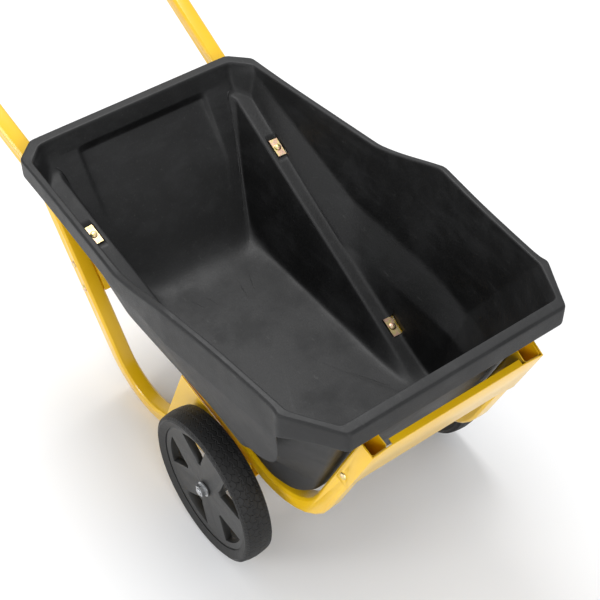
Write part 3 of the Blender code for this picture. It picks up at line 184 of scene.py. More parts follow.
class Paint:
    """Builds the nodes of one material."""

    def __init__(self, name: str) -> None:
        """Start an empty Principled material.

        Args:
            name: The material's name.
        """
        self.material = bpy.data.materials.new(name)
        self.material.use_nodes = True
        self.tree = self.material.node_tree
        self.shader = self.tree.nodes["Principled BSDF"]
        self.place = self.node("ShaderNodeTexCoord", {}, {}, "Object")

    def node(self, kind: str, settings: dict[str, object], inputs: dict[Union[int, str], Value],
             output: Union[int, str] = 0) -> Wire:
        """Add a node.

        Args:
            kind: The node's type.
            settings: Properties set before anything is linked.
            inputs: Values or links of its sockets, by name or number.
            output: The output that is wanted, by name or number.

        Returns:
            The wanted output.
        """
        node = self.tree.nodes.new(kind)
        for key, value in settings.items():
            if key == "stops":
                ramp = node.color_ramp
                while len(ramp.elements) < len(value):
                    ramp.elements.new(0.5)
                for element, (position, colour) in zip(ramp.elements, value):
                    element.position = position
                    element.color = (*colour, 1.0)
            else:
                setattr(node, key, value)
        for key, value in inputs.items():
            self.feed(node.inputs[key], value)
        return Wire(self, node.outputs[output])

    def feed(self, socket: bpy.types.NodeSocket, value: Value) -> None:
        """Set or link one socket.

        Args:
            socket: The input socket.
            value: A number, a tuple or a wire.
        """
        if isinstance(value, Wire):
            self.tree.links.new(value.socket, socket)
        elif isinstance(value, tuple) and len(value) == 3 and len(getattr(socket, "default_value", ())) == 4:
            socket.default_value = (*value, 1.0)
        else:
            socket.default_value = value

    def noise(self, scale: float, detail: float = 3.0, roughness: float = 0.5,
              place: Optional[Wire] = None) -> Wire:
        """Noise over the piece.

        Args:
            scale: Waves per metre.
            detail: Octaves.
            roughness: Share of the finer octaves.
            place: Coordinates; the piece's own when left out.

        Returns:
            The noise value, from 0 to 1.
        """
        return self.node("ShaderNodeTexNoise", {}, {"Vector": place or self.place, "Scale": scale,
                                                    "Detail": detail, "Roughness": roughness}, "Fac")

    def stretched(self, scale: tuple[float, float, float]) -> Wire:
        """The piece's coordinates scaled along each axis."""
        return self.node("ShaderNodeVectorMath", {"operation": "MULTIPLY"}, {0: self.place, 1: scale})

    def mix(self, share: Value, first: Value, second: Value) -> Wire:
        """Mix two colours.

        Args:
            share: How much of the second.
            first: First colour.
            second: Second colour.

        Returns:
            The mixed colour.
        """
        return self.node("ShaderNodeMix", {"data_type": "RGBA"}, {0: share, 6: first, 7: second}, 2)

    def axes(self) -> tuple[Wire, Wire, Wire]:
        """The three coordinates of the piece as separate values."""
        parts = self.node("ShaderNodeSeparateXYZ", {}, {0: self.place})
        outputs = parts.socket.node.outputs
        return Wire(self, outputs[0]), Wire(self, outputs[1]), Wire(self, outputs[2])

    def bump(self, height: Wire, distance: float, strength: float = 1.0) -> None:
        """Give the surface a relief.

        Args:
            height: Height from 0 to 1.
            distance: Depth of the relief in metres.
            strength: Share of the relief that shows.
        """
        normal = self.node("ShaderNodeBump", {}, {"Height": height, "Distance": distance, "Strength": strength},
                           "Normal")
        self.feed(self.shader.inputs["Normal"], normal)

    def dress(self, **values: Value) -> bpy.types.Material:
        """Set the Principled shader's sockets.

        Args:
            **values: Socket names with underscores for spaces.

        Returns:
            The finished material.
        """
        for key, value in values.items():
            self.feed(self.shader.inputs[key.replace("_", " ")], value)
        return self.material


# ------------------------------------------------------------------ finishes
@dataclass(frozen=True)
class MouldedPolyethylene:
    """Matte black tub plastic with a fine pebble, cloudy mottling and scuffed high spots."""

    dark: tuple[float, float, float] = (0.0026, 0.0026, 0.0027)
    light: tuple[float, float, float] = (0.0150, 0.0153, 0.0158)
    chalk: tuple[float, float, float] = (0.056, 0.057, 0.054)
    name: str = "moulded_polyethylene"

    def build(self) -> bpy.types.Material:
        """Make the material."""
        paint = Paint(self.name)
        cloud = paint.noise(8.0, 6.0, 0.66).band(0.40, 0.68)
        streak = paint.noise(1.0, 5.0, 0.65, paint.stretched((13.0, 5.0, 30.0))).band(0.46, 0.70)
        grain = paint.noise(800.0, 2.0, 0.5)
        pebble = paint.noise(230.0, 3.0, 0.55)
        scuff = paint.noise(1.0, 7.0, 0.75, paint.stretched((90.0, 26.0, 90.0))).band(0.60, 0.72)
        share = (cloud * 0.46 + streak * 0.40 + grain * 0.14).minimum(1.0)
        worn = scuff * 0.40 + pebble.band(0.55, 0.75) * 0.15
        shade = paint.mix(worn, paint.mix(share, self.dark, self.light), self.chalk)
        paint.bump(grain * 0.45 + pebble * 0.55, 0.0008, 0.6)
        return paint.dress(Base_Color=shade, Roughness=0.44 + cloud * 0.12 - scuff * 0.05 + grain * 0.08,
                           Specular_IOR_Level=0.40)


@dataclass(frozen=True)
class PowderCoat:
    """Glossy powder coat with faint orange peel."""

    colour: tuple[float, float, float] = (0.82, 0.495, 0.0040)
    deep: tuple[float, float, float] = (0.70, 0.375, 0.0022)
    name: str = "yellow_powder_coat"

    def build(self) -> bpy.types.Material:
        """Make the material."""
        paint = Paint(self.name)
        drift = paint.noise(5.0, 3.0).band(0.35, 0.75)
        peel = paint.noise(420.0, 2.0, 0.45)
        paint.bump(peel, 0.0004, 0.20)
        return paint.dress(Base_Color=paint.mix(drift * 0.45, self.colour, self.deep),
                           Roughness=0.25 + peel * 0.10, Coat_Weight=0.35, Coat_Roughness=0.12)


@dataclass(frozen=True)
class PassivatedZinc:
    """Yellow passivated zinc with drifting pink and green tints."""

    name: str = "passivated_zinc"

    def build(self) -> bpy.types.Material:
        """Make the material."""
        paint = Paint(self.name)
        drift = paint.noise(95.0, 3.0, 0.6)
        stops = ((0.30, (0.62, 0.56, 0.20)), (0.45, (0.86, 0.70, 0.34)), (0.58, (0.82, 0.50, 0.40)),
                 (0.72, (0.55, 0.62, 0.36)))
        tint = paint.node("ShaderNodeValToRGB", {"stops": stops}, {"Fac": drift}, "Color")
        spangle = paint.noise(600.0, 2.0, 0.5)
        paint.bump(spangle, 0.0002, 0.35)
        return paint.dress(Base_Color=tint, Metallic=1.0, Roughness=0.24 + spangle * 0.22)


@dataclass(frozen=True)
class BrightZinc:
    """Bright zinc plate on drawn steel tube."""

    dark: tuple[float, float, float] = (0.42, 0.43, 0.44)
    light: tuple[float, float, float] = (0.64, 0.65, 0.66)
    name: str = "bright_zinc"

    def build(self) -> bpy.types.Material:
        """Make the material."""
        paint = Paint(self.name)
        draw = paint.noise(1.0, 4.0, 0.6, paint.stretched((700.0, 40.0, 700.0)))
        paint.bump(draw, 0.0002, 0.3)
        return paint.dress(Base_Color=paint.mix(draw, self.dark, self.light), Metallic=1.0,
                           Roughness=0.26 + draw * 0.20)


@dataclass(frozen=True)
class HubPlastic:
    """Satin dark grey moulded plastic of the wheel hubs."""

    dark: tuple[float, float, float] = (0.018, 0.018, 0.0175)
    light: tuple[float, float, float] = (0.034, 0.034, 0.033)
    name: str = "hub_plastic"

    def build(self) -> bpy.types.Material:
        """Make the material."""
        paint = Paint(self.name)
        cloud = paint.noise(26.0, 4.0, 0.6).band(0.35, 0.75)
        grain = paint.noise(1100.0, 2.0, 0.5)
        paint.bump(grain, 0.0003, 0.4)
        return paint.dress(Base_Color=paint.mix(cloud * 0.5, self.dark, self.light),
                           Roughness=0.40 + cloud * 0.08 + grain * 0.06)


@dataclass(frozen=True)
class BushPlastic:
    """Dark acetal of the wheel bushes."""

    dark: tuple[float, float, float] = (0.05, 0.05, 0.052)
    light: tuple[float, float, float] = (0.10, 0.10, 0.10)
    name: str = "bush_plastic"

    def build(self) -> bpy.types.Material:
        """Make the material."""
        paint = Paint(self.name)
        grain = paint.noise(800.0, 2.0, 0.5)
        paint.bump(grain, 0.0002, 0.3)
        return paint.dress(Base_Color=paint.mix(grain, self.dark, self.light),
                           Roughness=0.38 + grain * 0.12)


@dataclass(frozen=True)
class FoamGrip:
    """Open-celled black foam of the handle grip, with painted shade in the cell pits."""

    dark: tuple[float, float, float] = (0.006, 0.006, 0.006)
    light: tuple[float, float, float] = (0.022, 0.022, 0.022)
    name: str = "foam_grip"

    def build(self) -> bpy.types.Material:
        """Make the material."""
        paint = Paint(self.name)
        cells = paint.node("ShaderNodeTexVoronoi", {}, {"Vector": paint.place, "Scale": 650.0}, "Distance")
        cloud = paint.noise(40.0, 3.0).band(0.3, 0.8)
        paint.bump(cells, 0.0008, 0.7)
        # Painted shade: the cells' pits, the low spots of the bump, are darker in colour.
        return paint.dress(Base_Color=paint.mix(cloud * 0.6 + cells * 0.3, self.dark, self.light),
                           Roughness=0.86 - cells * 0.12)


@dataclass(frozen=True)
class TyreRubber:
    """Black rubber with zigzag tread sipes, painted shade in the sipes, a parting line and dusty side walls."""

    centre_y: float
    centre_z: float
    middle_x: float
    tread_radius: float = 0.168
    rows: float = 0.0125
    pitches: int = 58
    dark: tuple[float, float, float] = (0.0060, 0.0060, 0.0060)
    dusty: tuple[float, float, float] = (0.024, 0.0235, 0.0225)
    # Painted shade: colour of the shade inside the tread grooves.
    in_groove: tuple[float, float, float] = (0.0025, 0.0025, 0.0025)
    name: str = "tyre_rubber"

    def build(self) -> bpy.types.Material:
        """Make the material."""
        paint = Paint(self.name)
        x, y, z = paint.axes()
        across = abs(x) - self.middle_x
        rise = z - self.centre_z
        reach = y - self.centre_y
        radius = (rise * rise + reach * reach).power(0.5)
        turn = rise.angle(reach) * (self.pitches / (2 * math.pi)) + 100.0
        zig = abs(turn.fract() - 0.5) * 2.0
        lane = across / self.rows + 20.5 + zig * 0.42
        row = lane.floor()
        shift = (row * 0.5).fract()
        along = (turn + shift + abs(lane.fract() - 0.5) * 0.36).fract()
        cross_line = abs(along - 0.5).band(0.045, 0.11)
        lane_line = abs(lane.fract() - 0.5)
        lane_line = (0.5 - lane_line).band(0.05, 0.12)
        tread = radius.band(self.tread_radius - 0.0015, self.tread_radius + 0.0015)
        groove = (1.0 - cross_line.minimum(lane_line)) * tread
        dots = abs((turn * 3.0).fract() - 0.5).band(0.25, 0.35)
        seam = (1.0 - abs(radius - (self.tread_radius - 0.004)).band(0.0006, 0.0014)) * (0.5 + dots * 0.5)
        dust = paint.noise(38.0, 5.0, 0.65).band(0.40, 0.75)
        wall = 1.0 - tread
        grain = paint.noise(700.0, 2.0, 0.5)
        shade = paint.mix((dust * 0.45 + wall * 0.35).minimum(1.0), self.dark, self.dusty)
        # Painted shade: the tread grooves are darkened as if shade falls into them.
        shade = paint.mix(groove * 0.85, shade, self.in_groove)
        paint.bump(grain * 0.06 + (1.0 - groove) * 0.9 + seam * 0.3, 0.0022, 0.9)
        return paint.dress(Base_Color=shade, Roughness=0.56 + dust * 0.14 + grain * 0.05 - wall * 0.08,
                           Specular_IOR_Level=0.40)


# ------------------------------------------------------------------ modelling helpers
def begin() -> None:
    """Leave edit mode with nothing selected."""
    if bpy.context.object is not None and bpy.context.object.mode != "OBJECT":
        bpy.ops.object.mode_set(mode="OBJECT")
    bpy.ops.object.select_all(action="DESELECT")


def activate(piece: bpy.types.Object) -> None:
    """Make one piece the only selected and the active one."""
    begin()
    piece.select_set(True)
    bpy.context.view_layer.objects.active = piece


def apply_modifiers(piece: bpy.types.Object) -> None:
    """Apply every modifier of a piece in order."""
    activate(piece)
    for modifier in list(piece.modifiers):
        bpy.ops.object.modifier_apply(modifier=modifier.name)


def settle(piece: bpy.types.Object, angle: float) -> None:
    """Put a piece's place into its mesh and shade it smooth up to an angle.

    Args:
        piece: The piece.
        angle: Edges sharper than this, in degrees, stay sharp.
    """
    activate(piece)
    bpy.ops.object.transform_apply(location=True, rotation=True, scale=True)
    bpy.ops.object.shade_smooth_by_angle(angle=math.radians(angle))


def loft(name: str, rings: Sequence[Ring]) -> bpy.types.Object:
    """Roll a primitive grid into a closed skin through closed rings of points.

    Args:
        name: The new piece's name.
        rings: Rings of equal length, each in order.

    Returns:
        The closed piece, with its ends filled and its faces outwards.
    """
    begin()
    bpy.ops.mesh.primitive_grid_add(x_subdivisions=len(rings[0]), y_subdivisions=len(rings) - 1, size=1.0)
    piece = bpy.context.object
    piece.name = name
    places: list[float] = []
    for ring in rings:
        for point in ring + ring[:1]:
            places.extend(point)
    piece.data.vertices.foreach_set("co", places)
    bpy.ops.object.mode_set(mode="EDIT")
    bpy.ops.mesh.select_all(action="SELECT")
    bpy.ops.mesh.remove_doubles(threshold=SKIN_MERGE)
    bpy.ops.mesh.fill_holes(sides=0)
    bpy.ops.mesh.select_all(action="SELECT")
    bpy.ops.mesh.normals_make_consistent(inside=False)
    if signed_volume(piece) < 0.0:
        bpy.ops.mesh.flip_normals()
    bpy.ops.object.mode_set(mode="OBJECT")
    return piece


def signed_volume(piece: bpy.types.Object) -> float:
    """Volume of a piece in edit mode, negative when its faces point inwards."""
    return bmesh.from_edit_mesh(piece.data).calc_volume(signed=True)


def subdivide(piece: bpy.types.Object, levels: int) -> None:
    """Smooth a cage with subdivision and apply it."""
    modifier = piece.modifiers.new("smooth", "SUBSURF")
    modifier.levels = levels
    modifier.render_levels = levels
    apply_modifiers(piece)


def softened(node: str, width: float, segments: int = 2, angle: float = 28.0) -> bpy.types.Object:
    """Copy a frame node and round its edges.

    Args:
        node: The frame node.
        width: Width of the rounding.
        segments: Faces across each rounding.
        angle: Edges flatter than this, in degrees, are left alone.

    Returns:
        The rounded copy.
    """
    begin()
    source = frame["nodes"][node]
    piece = source.copy()
    piece.data = source.data.copy()
    bpy.context.scene.collection.objects.link(piece)
    piece.parent = None
    piece.matrix_world = source.matrix_world.copy()
    piece.hide_render = False
    piece.name = node + "_shape"
    activate(piece)
    bpy.ops.object.mode_set(mode="EDIT")
    bpy.ops.mesh.select_all(action="SELECT")
    bpy.ops.mesh.remove_doubles(threshold=COPY_MERGE)
    bpy.ops.mesh.dissolve_limited(angle_limit=math.radians(1.5))
    bpy.ops.object.mode_set(mode="OBJECT")
    bevel = piece.modifiers.new("round", "BEVEL")
    bevel.width = width
    bevel.segments = segments
    bevel.limit_method = "ANGLE"
    bevel.angle_limit = math.radians(angle)
    bevel.harden_normals = False
    apply_modifiers(piece)
    settle(piece, SMOOTH_COPY)
    return piece


def dress(piece: bpy.types.Object, finish: bpy.types.Material) -> None:
    """Give a piece one material."""
    piece.data.materials.clear()
    piece.data.materials.append(finish)


def stand_in(piece: bpy.types.Object, body: str, finish: bpy.types.Material, slot: str, *nodes: str) -> None:
    """Dress a new piece and let it stand for frame nodes.

    Args:
        piece: The new piece.
        body: The body it rides on.
        finish: Its material.
        slot: The record's material slot; not used.
        *nodes: The frame nodes that it replaces.
    """
    dress(piece, finish)
    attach(piece, body)
    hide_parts(*nodes)
    LOG.info("%s stands for %s", piece.name, ", ".join(nodes))


def between(marks: Sequence[tuple[float, ...]], at: float) -> tuple[float, ...]:
    """Straight-line values between marks.

    Args:
        marks: Rows that start with their position, in rising order.
        at: The wanted position.

    Returns:
        The row's other values at that position.
    """
    if at <= marks[0][0]:
        return tuple(marks[0][1:])
    for low, high in zip(marks, marks[1:]):
        if at <= high[0]:
            share = (at - low[0]) / (high[0] - low[0])
            return tuple(a + (b - a) * share for a, b in zip(low[1:], high[1:]))
    return tuple(marks[-1][1:])


# ------------------------------------------------------------------ tub
@dataclass
class Column:
    """One line of the tub's skin, from the rim's inner edge down to the floor, with the rim beside it.

    A foot is the lower edge of the side panel.  A corner above zero is how near the columns stand that
    round it.  Levels, where there are any, replace the points between the rim and the floor.
    """

    inside: Ring
    outer: Vector
    skirt: float
    foot: Optional[Vector] = None
    corner: float = 0.0
    levels: Ring = field(default_factory=list)


@dataclass
class Tub:
    """Single-wall moulded tub: floor, shoulders over the frame tubes, ledges, rim, skirt and side panels."""

    axle_y: float
    wall: float = 0.0045
    floor_z: float = 0.2733
    floor_x: float = 0.155
    arc_centre: tuple[float, float] = (-0.1153, 0.4092)
    arc_radius: float = 0.1359
    arc_end: float = 68.0
    kink: tuple[float, float] = (-0.350, 0.625)
    lip: tuple[float, float] = (-0.374, 0.718)
    back: tuple[tuple[float, float], ...] = ((0.2733, 0.485), (0.575, 0.686), (0.625, 0.7045))
    skirt: float = 0.047
    back_skirt: float = 0.036
    rim_land: float = 0.0160
    rim_lip: float = 0.0036
    back_rim: tuple[float, float] = (0.2526, 0.2615)
    small_corner: float = 0.0045
    kink_corner: float = 0.006
    kinks: tuple[float, float] = (0.048, 0.245)
    recess_depth: float = 0.0100
    recess_half: float = 0.169
    recess_low: float = 0.415
    recess_high: float = 0.579
    recess_draft: float = 0.0135
    recess_corner: float = 0.016
    # Heights of the back wall's points, and how far its columns stand outside the recess's side.
    recess_levels: tuple[float, ...] = (
        0.607, 0.600, 0.594, 0.588, 0.5835, 0.5805, 0.5775, 0.5685, 0.5655, 0.561, 0.554, 0.546, 0.537,
        0.527, 0.515, 0.501, 0.486, 0.468)
    recess_columns: tuple[float, ...] = (0.045, 0.010, 0.0035, 0.0005, -0.0055, -0.0085, -0.018)
    slope: float = math.radians(20.5)
    splay: float = math.radians(4.0)
    # Length along the frame tube, width and height of a washer plate's pocket, and how far it is lifted.
    pocket: tuple[float, float, float] = (0.045, 0.0275, 0.0240)
    pocket_lift: float = 0.0105
    # The rim: y, inner x and height.
    rim: tuple[tuple[float, float, float], ...] = (
        (-0.2845, 0.3000, 0.7075), (-0.0934, 0.3148, 0.7050), (0.048, 0.3318, 0.7035), (0.100, 0.3295, 0.6840),
        (0.151, 0.3268, 0.6640), (0.200, 0.3243, 0.6470), (0.245, 0.3220, 0.6350), (0.664, 0.2920, 0.6175))
    # The side columns: y at the rim, ledge, shoulder and floor.
    stations: tuple[tuple[float, float, float, float], ...] = (
        (-0.262, -0.108, -0.105, -0.097), (-0.190, -0.085, -0.080, -0.085),
        (-0.0934, -0.030, -0.050, -0.065), (-0.020, 0.010, -0.010, -0.035),
        (0.048, 0.060, 0.040, 0.000), (0.100, 0.105, 0.085, 0.035), (0.151, 0.155, 0.130, 0.075),
        (0.200, 0.205, 0.185, 0.120), (0.245, 0.282, 0.240, 0.165), (0.350, 0.365, 0.345, 0.245),
        (0.450, 0.455, 0.440, 0.325), (0.560, 0.556, 0.545, 0.405))
    # The side panel: rim y, depth of its fold below the rim, foot x and foot z.
    apron: tuple[tuple[float, float, float, float], ...] = (
        (-0.262, 0.080, 0.3000, 0.515), (-0.190, 0.090, 0.3010, 0.463), (-0.0934, 0.090, 0.3010, 0.463),
        (-0.020, 0.090, 0.3015, 0.471), (0.048, 0.090, 0.3030, 0.478), (0.100, 0.072, 0.3120, 0.498),
        (0.151, 0.055, 0.3300, 0.530), (0.200, 0.049, 0.3370, 0.560))

    def front_y(self, z: float) -> float:
        """The front wall's y at a height above the arc."""
        angle = math.radians(self.arc_end)
        end_y = self.arc_centre[0] - self.arc_radius * math.sin(angle)
        end_z = self.arc_centre[1] - self.arc_radius * math.cos(angle)
        return between(((end_z, end_y), (self.kink[1], self.kink[0]), (self.lip[1], self.lip[0])), z)[0]

    def on_arc(self, x: float, degrees: float) -> Vector:
        """A point of the front arc at an angle from its lowest point."""
        angle = math.radians(degrees)
        return Vector((x, self.arc_centre[0] - self.arc_radius * math.sin(angle),
                       self.arc_centre[1] - self.arc_radius * math.cos(angle)))

    def on_back(self, x: float, z: float, sunk: float = 0.0) -> Vector:
        """A point of the back wall, sunk outwards by a distance."""
        return Vector((x, between(self.back, z)[0] + sunk * 0.83, z - sunk * 0.55))

    def recess_sink(self, x: float, z: float) -> float:
        """How deep the back wall's recessed panel is at a point.

        Args:
            x: Half width of the point.
            z: Its height.

        Returns:
            The depth, which fades out towards the floor.
        """
        beside = x - self.recess_half - 0.002
        above = (z - self.recess_high) / math.sin(math.radians(57.0))
        bent_x, bent_z = beside + self.recess_corner, above + self.recess_corner
        if bent_x > 0.0 and bent_z > 0.0:
            edge = math.hypot(bent_x, bent_z) - self.recess_corner
        else:
            edge = max(beside, above)
        inside = max(0.0, min(1.0, -edge / self.recess_draft))
        fade = max(0.0, min(1.0, (z - self.recess_low) / (self.recess_high - 0.014 - self.recess_low)))
        return self.recess_depth * inside * fade

    def shoulder_z(self, y: float) -> float:
        """Height of the shoulder, which follows the frame tube."""
        if y > -0.0677:
            return 0.3071 + 0.3737 * y
        rise = self.arc_radius ** 2 - (y - self.arc_centre[0]) ** 2
        return self.arc_centre[1] - math.sqrt(max(rise, 0.0))

    def side_column(self, rim_y: float, ledge_y: float, shoulder_y: float, floor_y: float) -> Column:
        """A column of the side wall.

        Args:
            rim_y: Where it leaves the rim.
            ledge_y: Where it crosses the ledge.
            shoulder_y: Where it crosses the shoulder.
            floor_y: Where it meets the floor.

        Returns:
            The column.
        """
        x, z = between(self.rim, rim_y)
        top = Vector((x, rim_y, z))
        shoulder = self.shoulder_z(shoulder_y)
        outer_x = between(((-0.08, 0.2150), (0.28, 0.2325), (0.66, 0.2712)), shoulder_y)[0]
        outer = Vector((outer_x, shoulder_y, shoulder))
        inner = Vector((0.1835 + 0.0765 * shoulder_y, shoulder_y, shoulder))
        high_x, high_z = between(((-0.12, 0.290, 0.437), (-0.03, 0.2945, 0.464), (0.288, 0.2955, 0.467),
                                  (0.652, 0.2885, 0.6045)), ledge_y)
        high = Vector((high_x, ledge_y, high_z))
        if shoulder < 0.386:
            low = Vector((0.2470, ledge_y, 0.392))
        else:
            low = outer + Vector((0.0045, 0.0, 0.0065))
        foot = Vector((self.floor_x, floor_y, self.floor_z))
        inside = [top, top.lerp(high, 0.18), top.lerp(high, 0.24), high, low, outer, inner,
                  inner.lerp(foot, 0.55), foot]
        outer_rim = Vector((x + self.rim_land, rim_y, z))
        column = Column(inside, outer_rim, self.skirt)
        if rim_y < 0.21:
            depth, foot_x, foot_z = between(self.apron, rim_y)
            column.skirt = depth
            column.foot = Vector((foot_x, rim_y, foot_z))
        return column

    def half_columns(self) -> list[Column]:
        """Columns of the +X half from the nose's middle to the back's middle."""
        front = Column([Vector((0.2530, self.lip[0], self.lip[1])), Vector((0.2475, self.front_y(0.66), 0.66)),
                        Vector((0.2455, self.front_y(0.65), 0.65)), Vector((0.2245, self.front_y(0.50), 0.50)),
                        Vector((0.2130, self.front_y(0.41), 0.41)), self.on_arc(0.2063, self.arc_end),
                        self.on_arc(0.1760, 52.0), self.on_arc(0.1640, 30.0), self.on_arc(0.1520, 4.0)],
                       Vector((0.2545, -0.4005, 0.7195)), self.skirt, corner=self.small_corner)
        columns = []
        for share in (0.0, 0.5, 0.85):
            inside = [Vector((point.x * share, point.y, point.z)) for point in front.inside]
            outer = Vector((front.outer.x * share, front.outer.y, front.outer.z))
            columns.append(Column(inside, outer, self.skirt))
        columns.append(front)
        x, z = between(self.rim, -0.2845)
        turn = Column([Vector((x, -0.2845, z)), Vector((0.2975, -0.250, 0.655)),
                       Vector((0.2965, -0.243, 0.645)), Vector((0.2895, -0.120, 0.437)),
                       Vector((0.2475, -0.128, 0.388)),
                       Vector((0.2135, -0.128, self.shoulder_z(-0.128) + 0.002)),
                       Vector((0.1745, -0.112, self.floor_z)), Vector((0.1640, -0.108, self.floor_z)),
                       Vector((self.floor_x, -0.104, self.floor_z))],
                      Vector((0.3225, -0.2825, z)), 0.062, foot=Vector((0.2990, -0.2100, 0.575)),
                      corner=self.small_corner)
        middle = Column([a.lerp(b, 0.5) for a, b in zip(front.inside, turn.inside)],
                        front.outer.lerp(turn.outer, 0.5), self.skirt)
        middle.inside[5] = self.on_arc(0.2105, 33.0)
        middle.inside[6] = self.on_arc(0.1755, 25.0)
        middle.inside[7] = self.on_arc(0.1640, 14.0)
        middle.inside[8] = Vector((0.1535, -0.112, self.floor_z))
        columns += [middle, turn]
        for station in self.stations:
            column = self.side_column(*station)
            if station[0] in self.kinks:
                column.corner = self.kink_corner
            columns.append(column)
        columns.append(Column([Vector((0.2920, 0.664, 0.6175)), Vector((0.2910, 0.660, 0.6140)),
                               Vector((0.2905, 0.658, 0.6120)), Vector((0.2885, 0.652, 0.6045)),
                               Vector((0.2725, 0.643, 0.5530)), Vector((0.2695, 0.639, 0.5462)),
                               Vector((0.2335, 0.652, 0.5515)), self.on_back(0.196, 0.42),
                               Vector((self.floor_x, 0.482, self.floor_z))],
                              Vector((0.3085, 0.688, 0.6165)), self.skirt, corner=self.small_corner))
        inner_x, outer_x = self.back_rim
        columns.append(Column([Vector((inner_x, 0.7010, 0.6200)), self.on_back(0.2510, 0.605),
                               self.on_back(0.2505, 0.600), self.on_back(0.2485, 0.585),
                               self.on_back(0.2465, 0.566), self.on_back(0.2440, 0.5560),
                               self.on_back(0.2260, 0.5535), self.on_back(0.186, 0.42),
                               Vector((0.144, 0.485, self.floor_z))],
                              Vector((outer_x, 0.730, 0.6200)), self.back_skirt, corner=self.small_corner))
        half = self.recess_half
        for x in [half + step for step in self.recess_columns] + [half * 0.55, 0.0]:
            columns.append(self.back_column(x))
        return columns

    def back_column(self, x: float) -> Column:
        """A column of the back wall, over its recess.

        Args:
            x: Half width of the column.

        Returns:
            The column.
        """
        inner_x, outer_x = self.back_rim
        levels = [self.on_back(x, z, self.recess_sink(x, z)) for z in self.recess_levels]
        inside = [Vector((x, self.on_back(x, 0.6205).y, 0.6205))] + [self.on_back(x, 0.6)] * 6
        inside += [self.on_back(x, self.recess_low + 0.01), Vector((0.144 * x / inner_x, 0.485, self.floor_z))]
        return Column(inside, Vector((x * outer_x / inner_x, 0.730, 0.6205)), self.back_skirt, levels=levels)

    @staticmethod
    def beside(ring: Ring, index: int, reach: float) -> Ring:
        """Four points beside a corner of a line of points: far and near before it, near and far after it.

        Args:
            ring: The line.
            index: Which point is the corner.
            reach: Wanted distance of the near points from the corner.

        Returns:
            The four points in order.
        """
        here = ring[index]
        before, after = ring[index - 1] - here, ring[index + 1] - here
        near = [here + step * min(reach / max(step.length, 1e-6), 0.16) for step in (before, after)]
        far = [here + step * min(reach * 3.0 / max(step.length, 1e-6), 0.40) for step in (before, after)]
        return [far[0], near[0], near[1], far[1]]

    def spread_corners(self, columns: list[Column]) -> list[Column]:
        """Replace each corner column with four beside it, so that the corner comes out small and round."""
        spread = []
        for index, column in enumerate(columns):
            if column.corner <= 0.0:
                spread.append(column)
                continue
            near = columns[index - 1:index + 2]
            insides = [self.beside([c.inside[level] for c in near], 1, column.corner)
                       for level in range(len(column.inside))]
            outers = self.beside([c.outer for c in near], 1, column.corner)
            depths = [Vector((c.skirt, i * 0.05, 0.0)) for i, c in enumerate(near)]
            skirts = self.beside(depths, 1, column.corner)
            feet = [None] * 4
            if all(c.foot is not None for c in near):
                feet = self.beside([c.foot for c in near], 1, column.corner)
            for pick in range(4):
                spread.append(Column([points[pick] for points in insides], outers[pick], skirts[pick].x,
                                     feet[pick] if column.foot is not None else None))
        return spread

    def filleted(self, column: Column) -> Ring:
        """The inside of a column with points beside each of its corners, and a round foot."""
        line = column.inside
        points = [line[0] + (line[1] - line[0]).normalized() * 0.0022,
                  line[0] + (line[1] - line[0]).normalized() * 0.0075]
        if column.levels:
            points += column.levels
        else:
            points += [line[1], line[2]]
            for index, reach in zip(range(3, 7), (0.0042, 0.0030, 0.0042, 0.0034)):
                points += self.beside(line, index, reach)
        points.append(line[7])
        foot = line[8]
        rise = line[7] - foot
        inward = Vector((0.0, 0.19 + (foot.y - 0.19) * 0.5, foot.z)) - foot
        inward.z = 0.0
        inward.normalize()
        back = max(0.0, min(1.0, (foot.y - 0.44) / 0.04))
        reach = 0.011 + 0.040 * back
        points.append(foot + rise.normalized() * min(reach * 1.2, rise.length * 0.5))
        points.append(foot + inward * reach * 0.22 + rise.normalized() * reach * 0.22)
        points.append(foot + inward * reach * 1.2)
        points.append(foot + inward * (reach + 0.045))
        return points

    def rim_line(self, column: Column) -> Ring:
        """Points from the rim's inner edge over the land and down the skirt and panel, then up behind them."""
        top = column.inside[0]
        outer = column.outer.copy()
        height = max(top.z, outer.z)
        out = Vector((outer.x - top.x, outer.y - top.y, 0.0))
        width = out.length
        out.normalize()
        inner = Vector((top.x, top.y, height))
        edge = Vector((outer.x, outer.y, height))
        lip = self.rim_lip
        down = Vector((0.0, 0.0, -1.0))
        points = [inner + out * 0.0018, inner + out * 0.0055, edge - out * (lip + 0.0042),
                  edge - out * (lip + 0.0008) + down * 0.0002, edge - out * (lip - 0.0004) + down * 0.0018,
                  edge - out * 0.0020 + down * 0.0021, edge - out * 0.0003 + down * 0.0040,
                  edge + down * 0.0095]
        fold = edge + down * column.skirt
        if column.foot is None:
            foot = fold + down * 0.0015
            points += [edge + down * (column.skirt * 0.6), fold - down * 0.0085, fold - down * 0.0024,
                       foot - out * 0.0008]
            back = foot - out * 0.0037
            rise = fold - out * 0.0045 - down * 0.003
        else:
            foot = column.foot
            lean = (foot - fold).normalized()
            points += [fold - down * 0.010, fold - down * 0.003, fold + lean * 0.003, foot]
            back = foot - out * 0.0035 + Vector((0, 0, 0.001))
            rise = fold - out * 0.0045 + down * 0.002
        ceiling = edge - out * min(0.0048, width * 0.4) + down * 0.0070
        points += [back, rise, ceiling]
        return points

    def wall_outside(self, inside: list[Ring]) -> list[Ring]:
        """Move the inner skin out by the wall's thickness.

        Args:
            inside: The inner skin as rings, from the rim down, each ring closed.

        Returns:
            The outer skin's rings.
        """
        moved = []
        count = len(inside[0])
        for level, ring in enumerate(inside):
            above = inside[max(level - 1, 0)]
            below = inside[min(level + 1, len(inside) - 1)]
            new_ring = []
            for index, point in enumerate(ring):
                along = ring[(index + 1) % count] - ring[index - 1]
                down = below[index] - above[index]
                normal = down.cross(along)
                normal.normalize()
                if normal.length < 0.5:
                    normal = Vector((0, 0, -1))
                new_ring.append(point + normal * self.wall)
            moved.append(new_ring)
        return moved

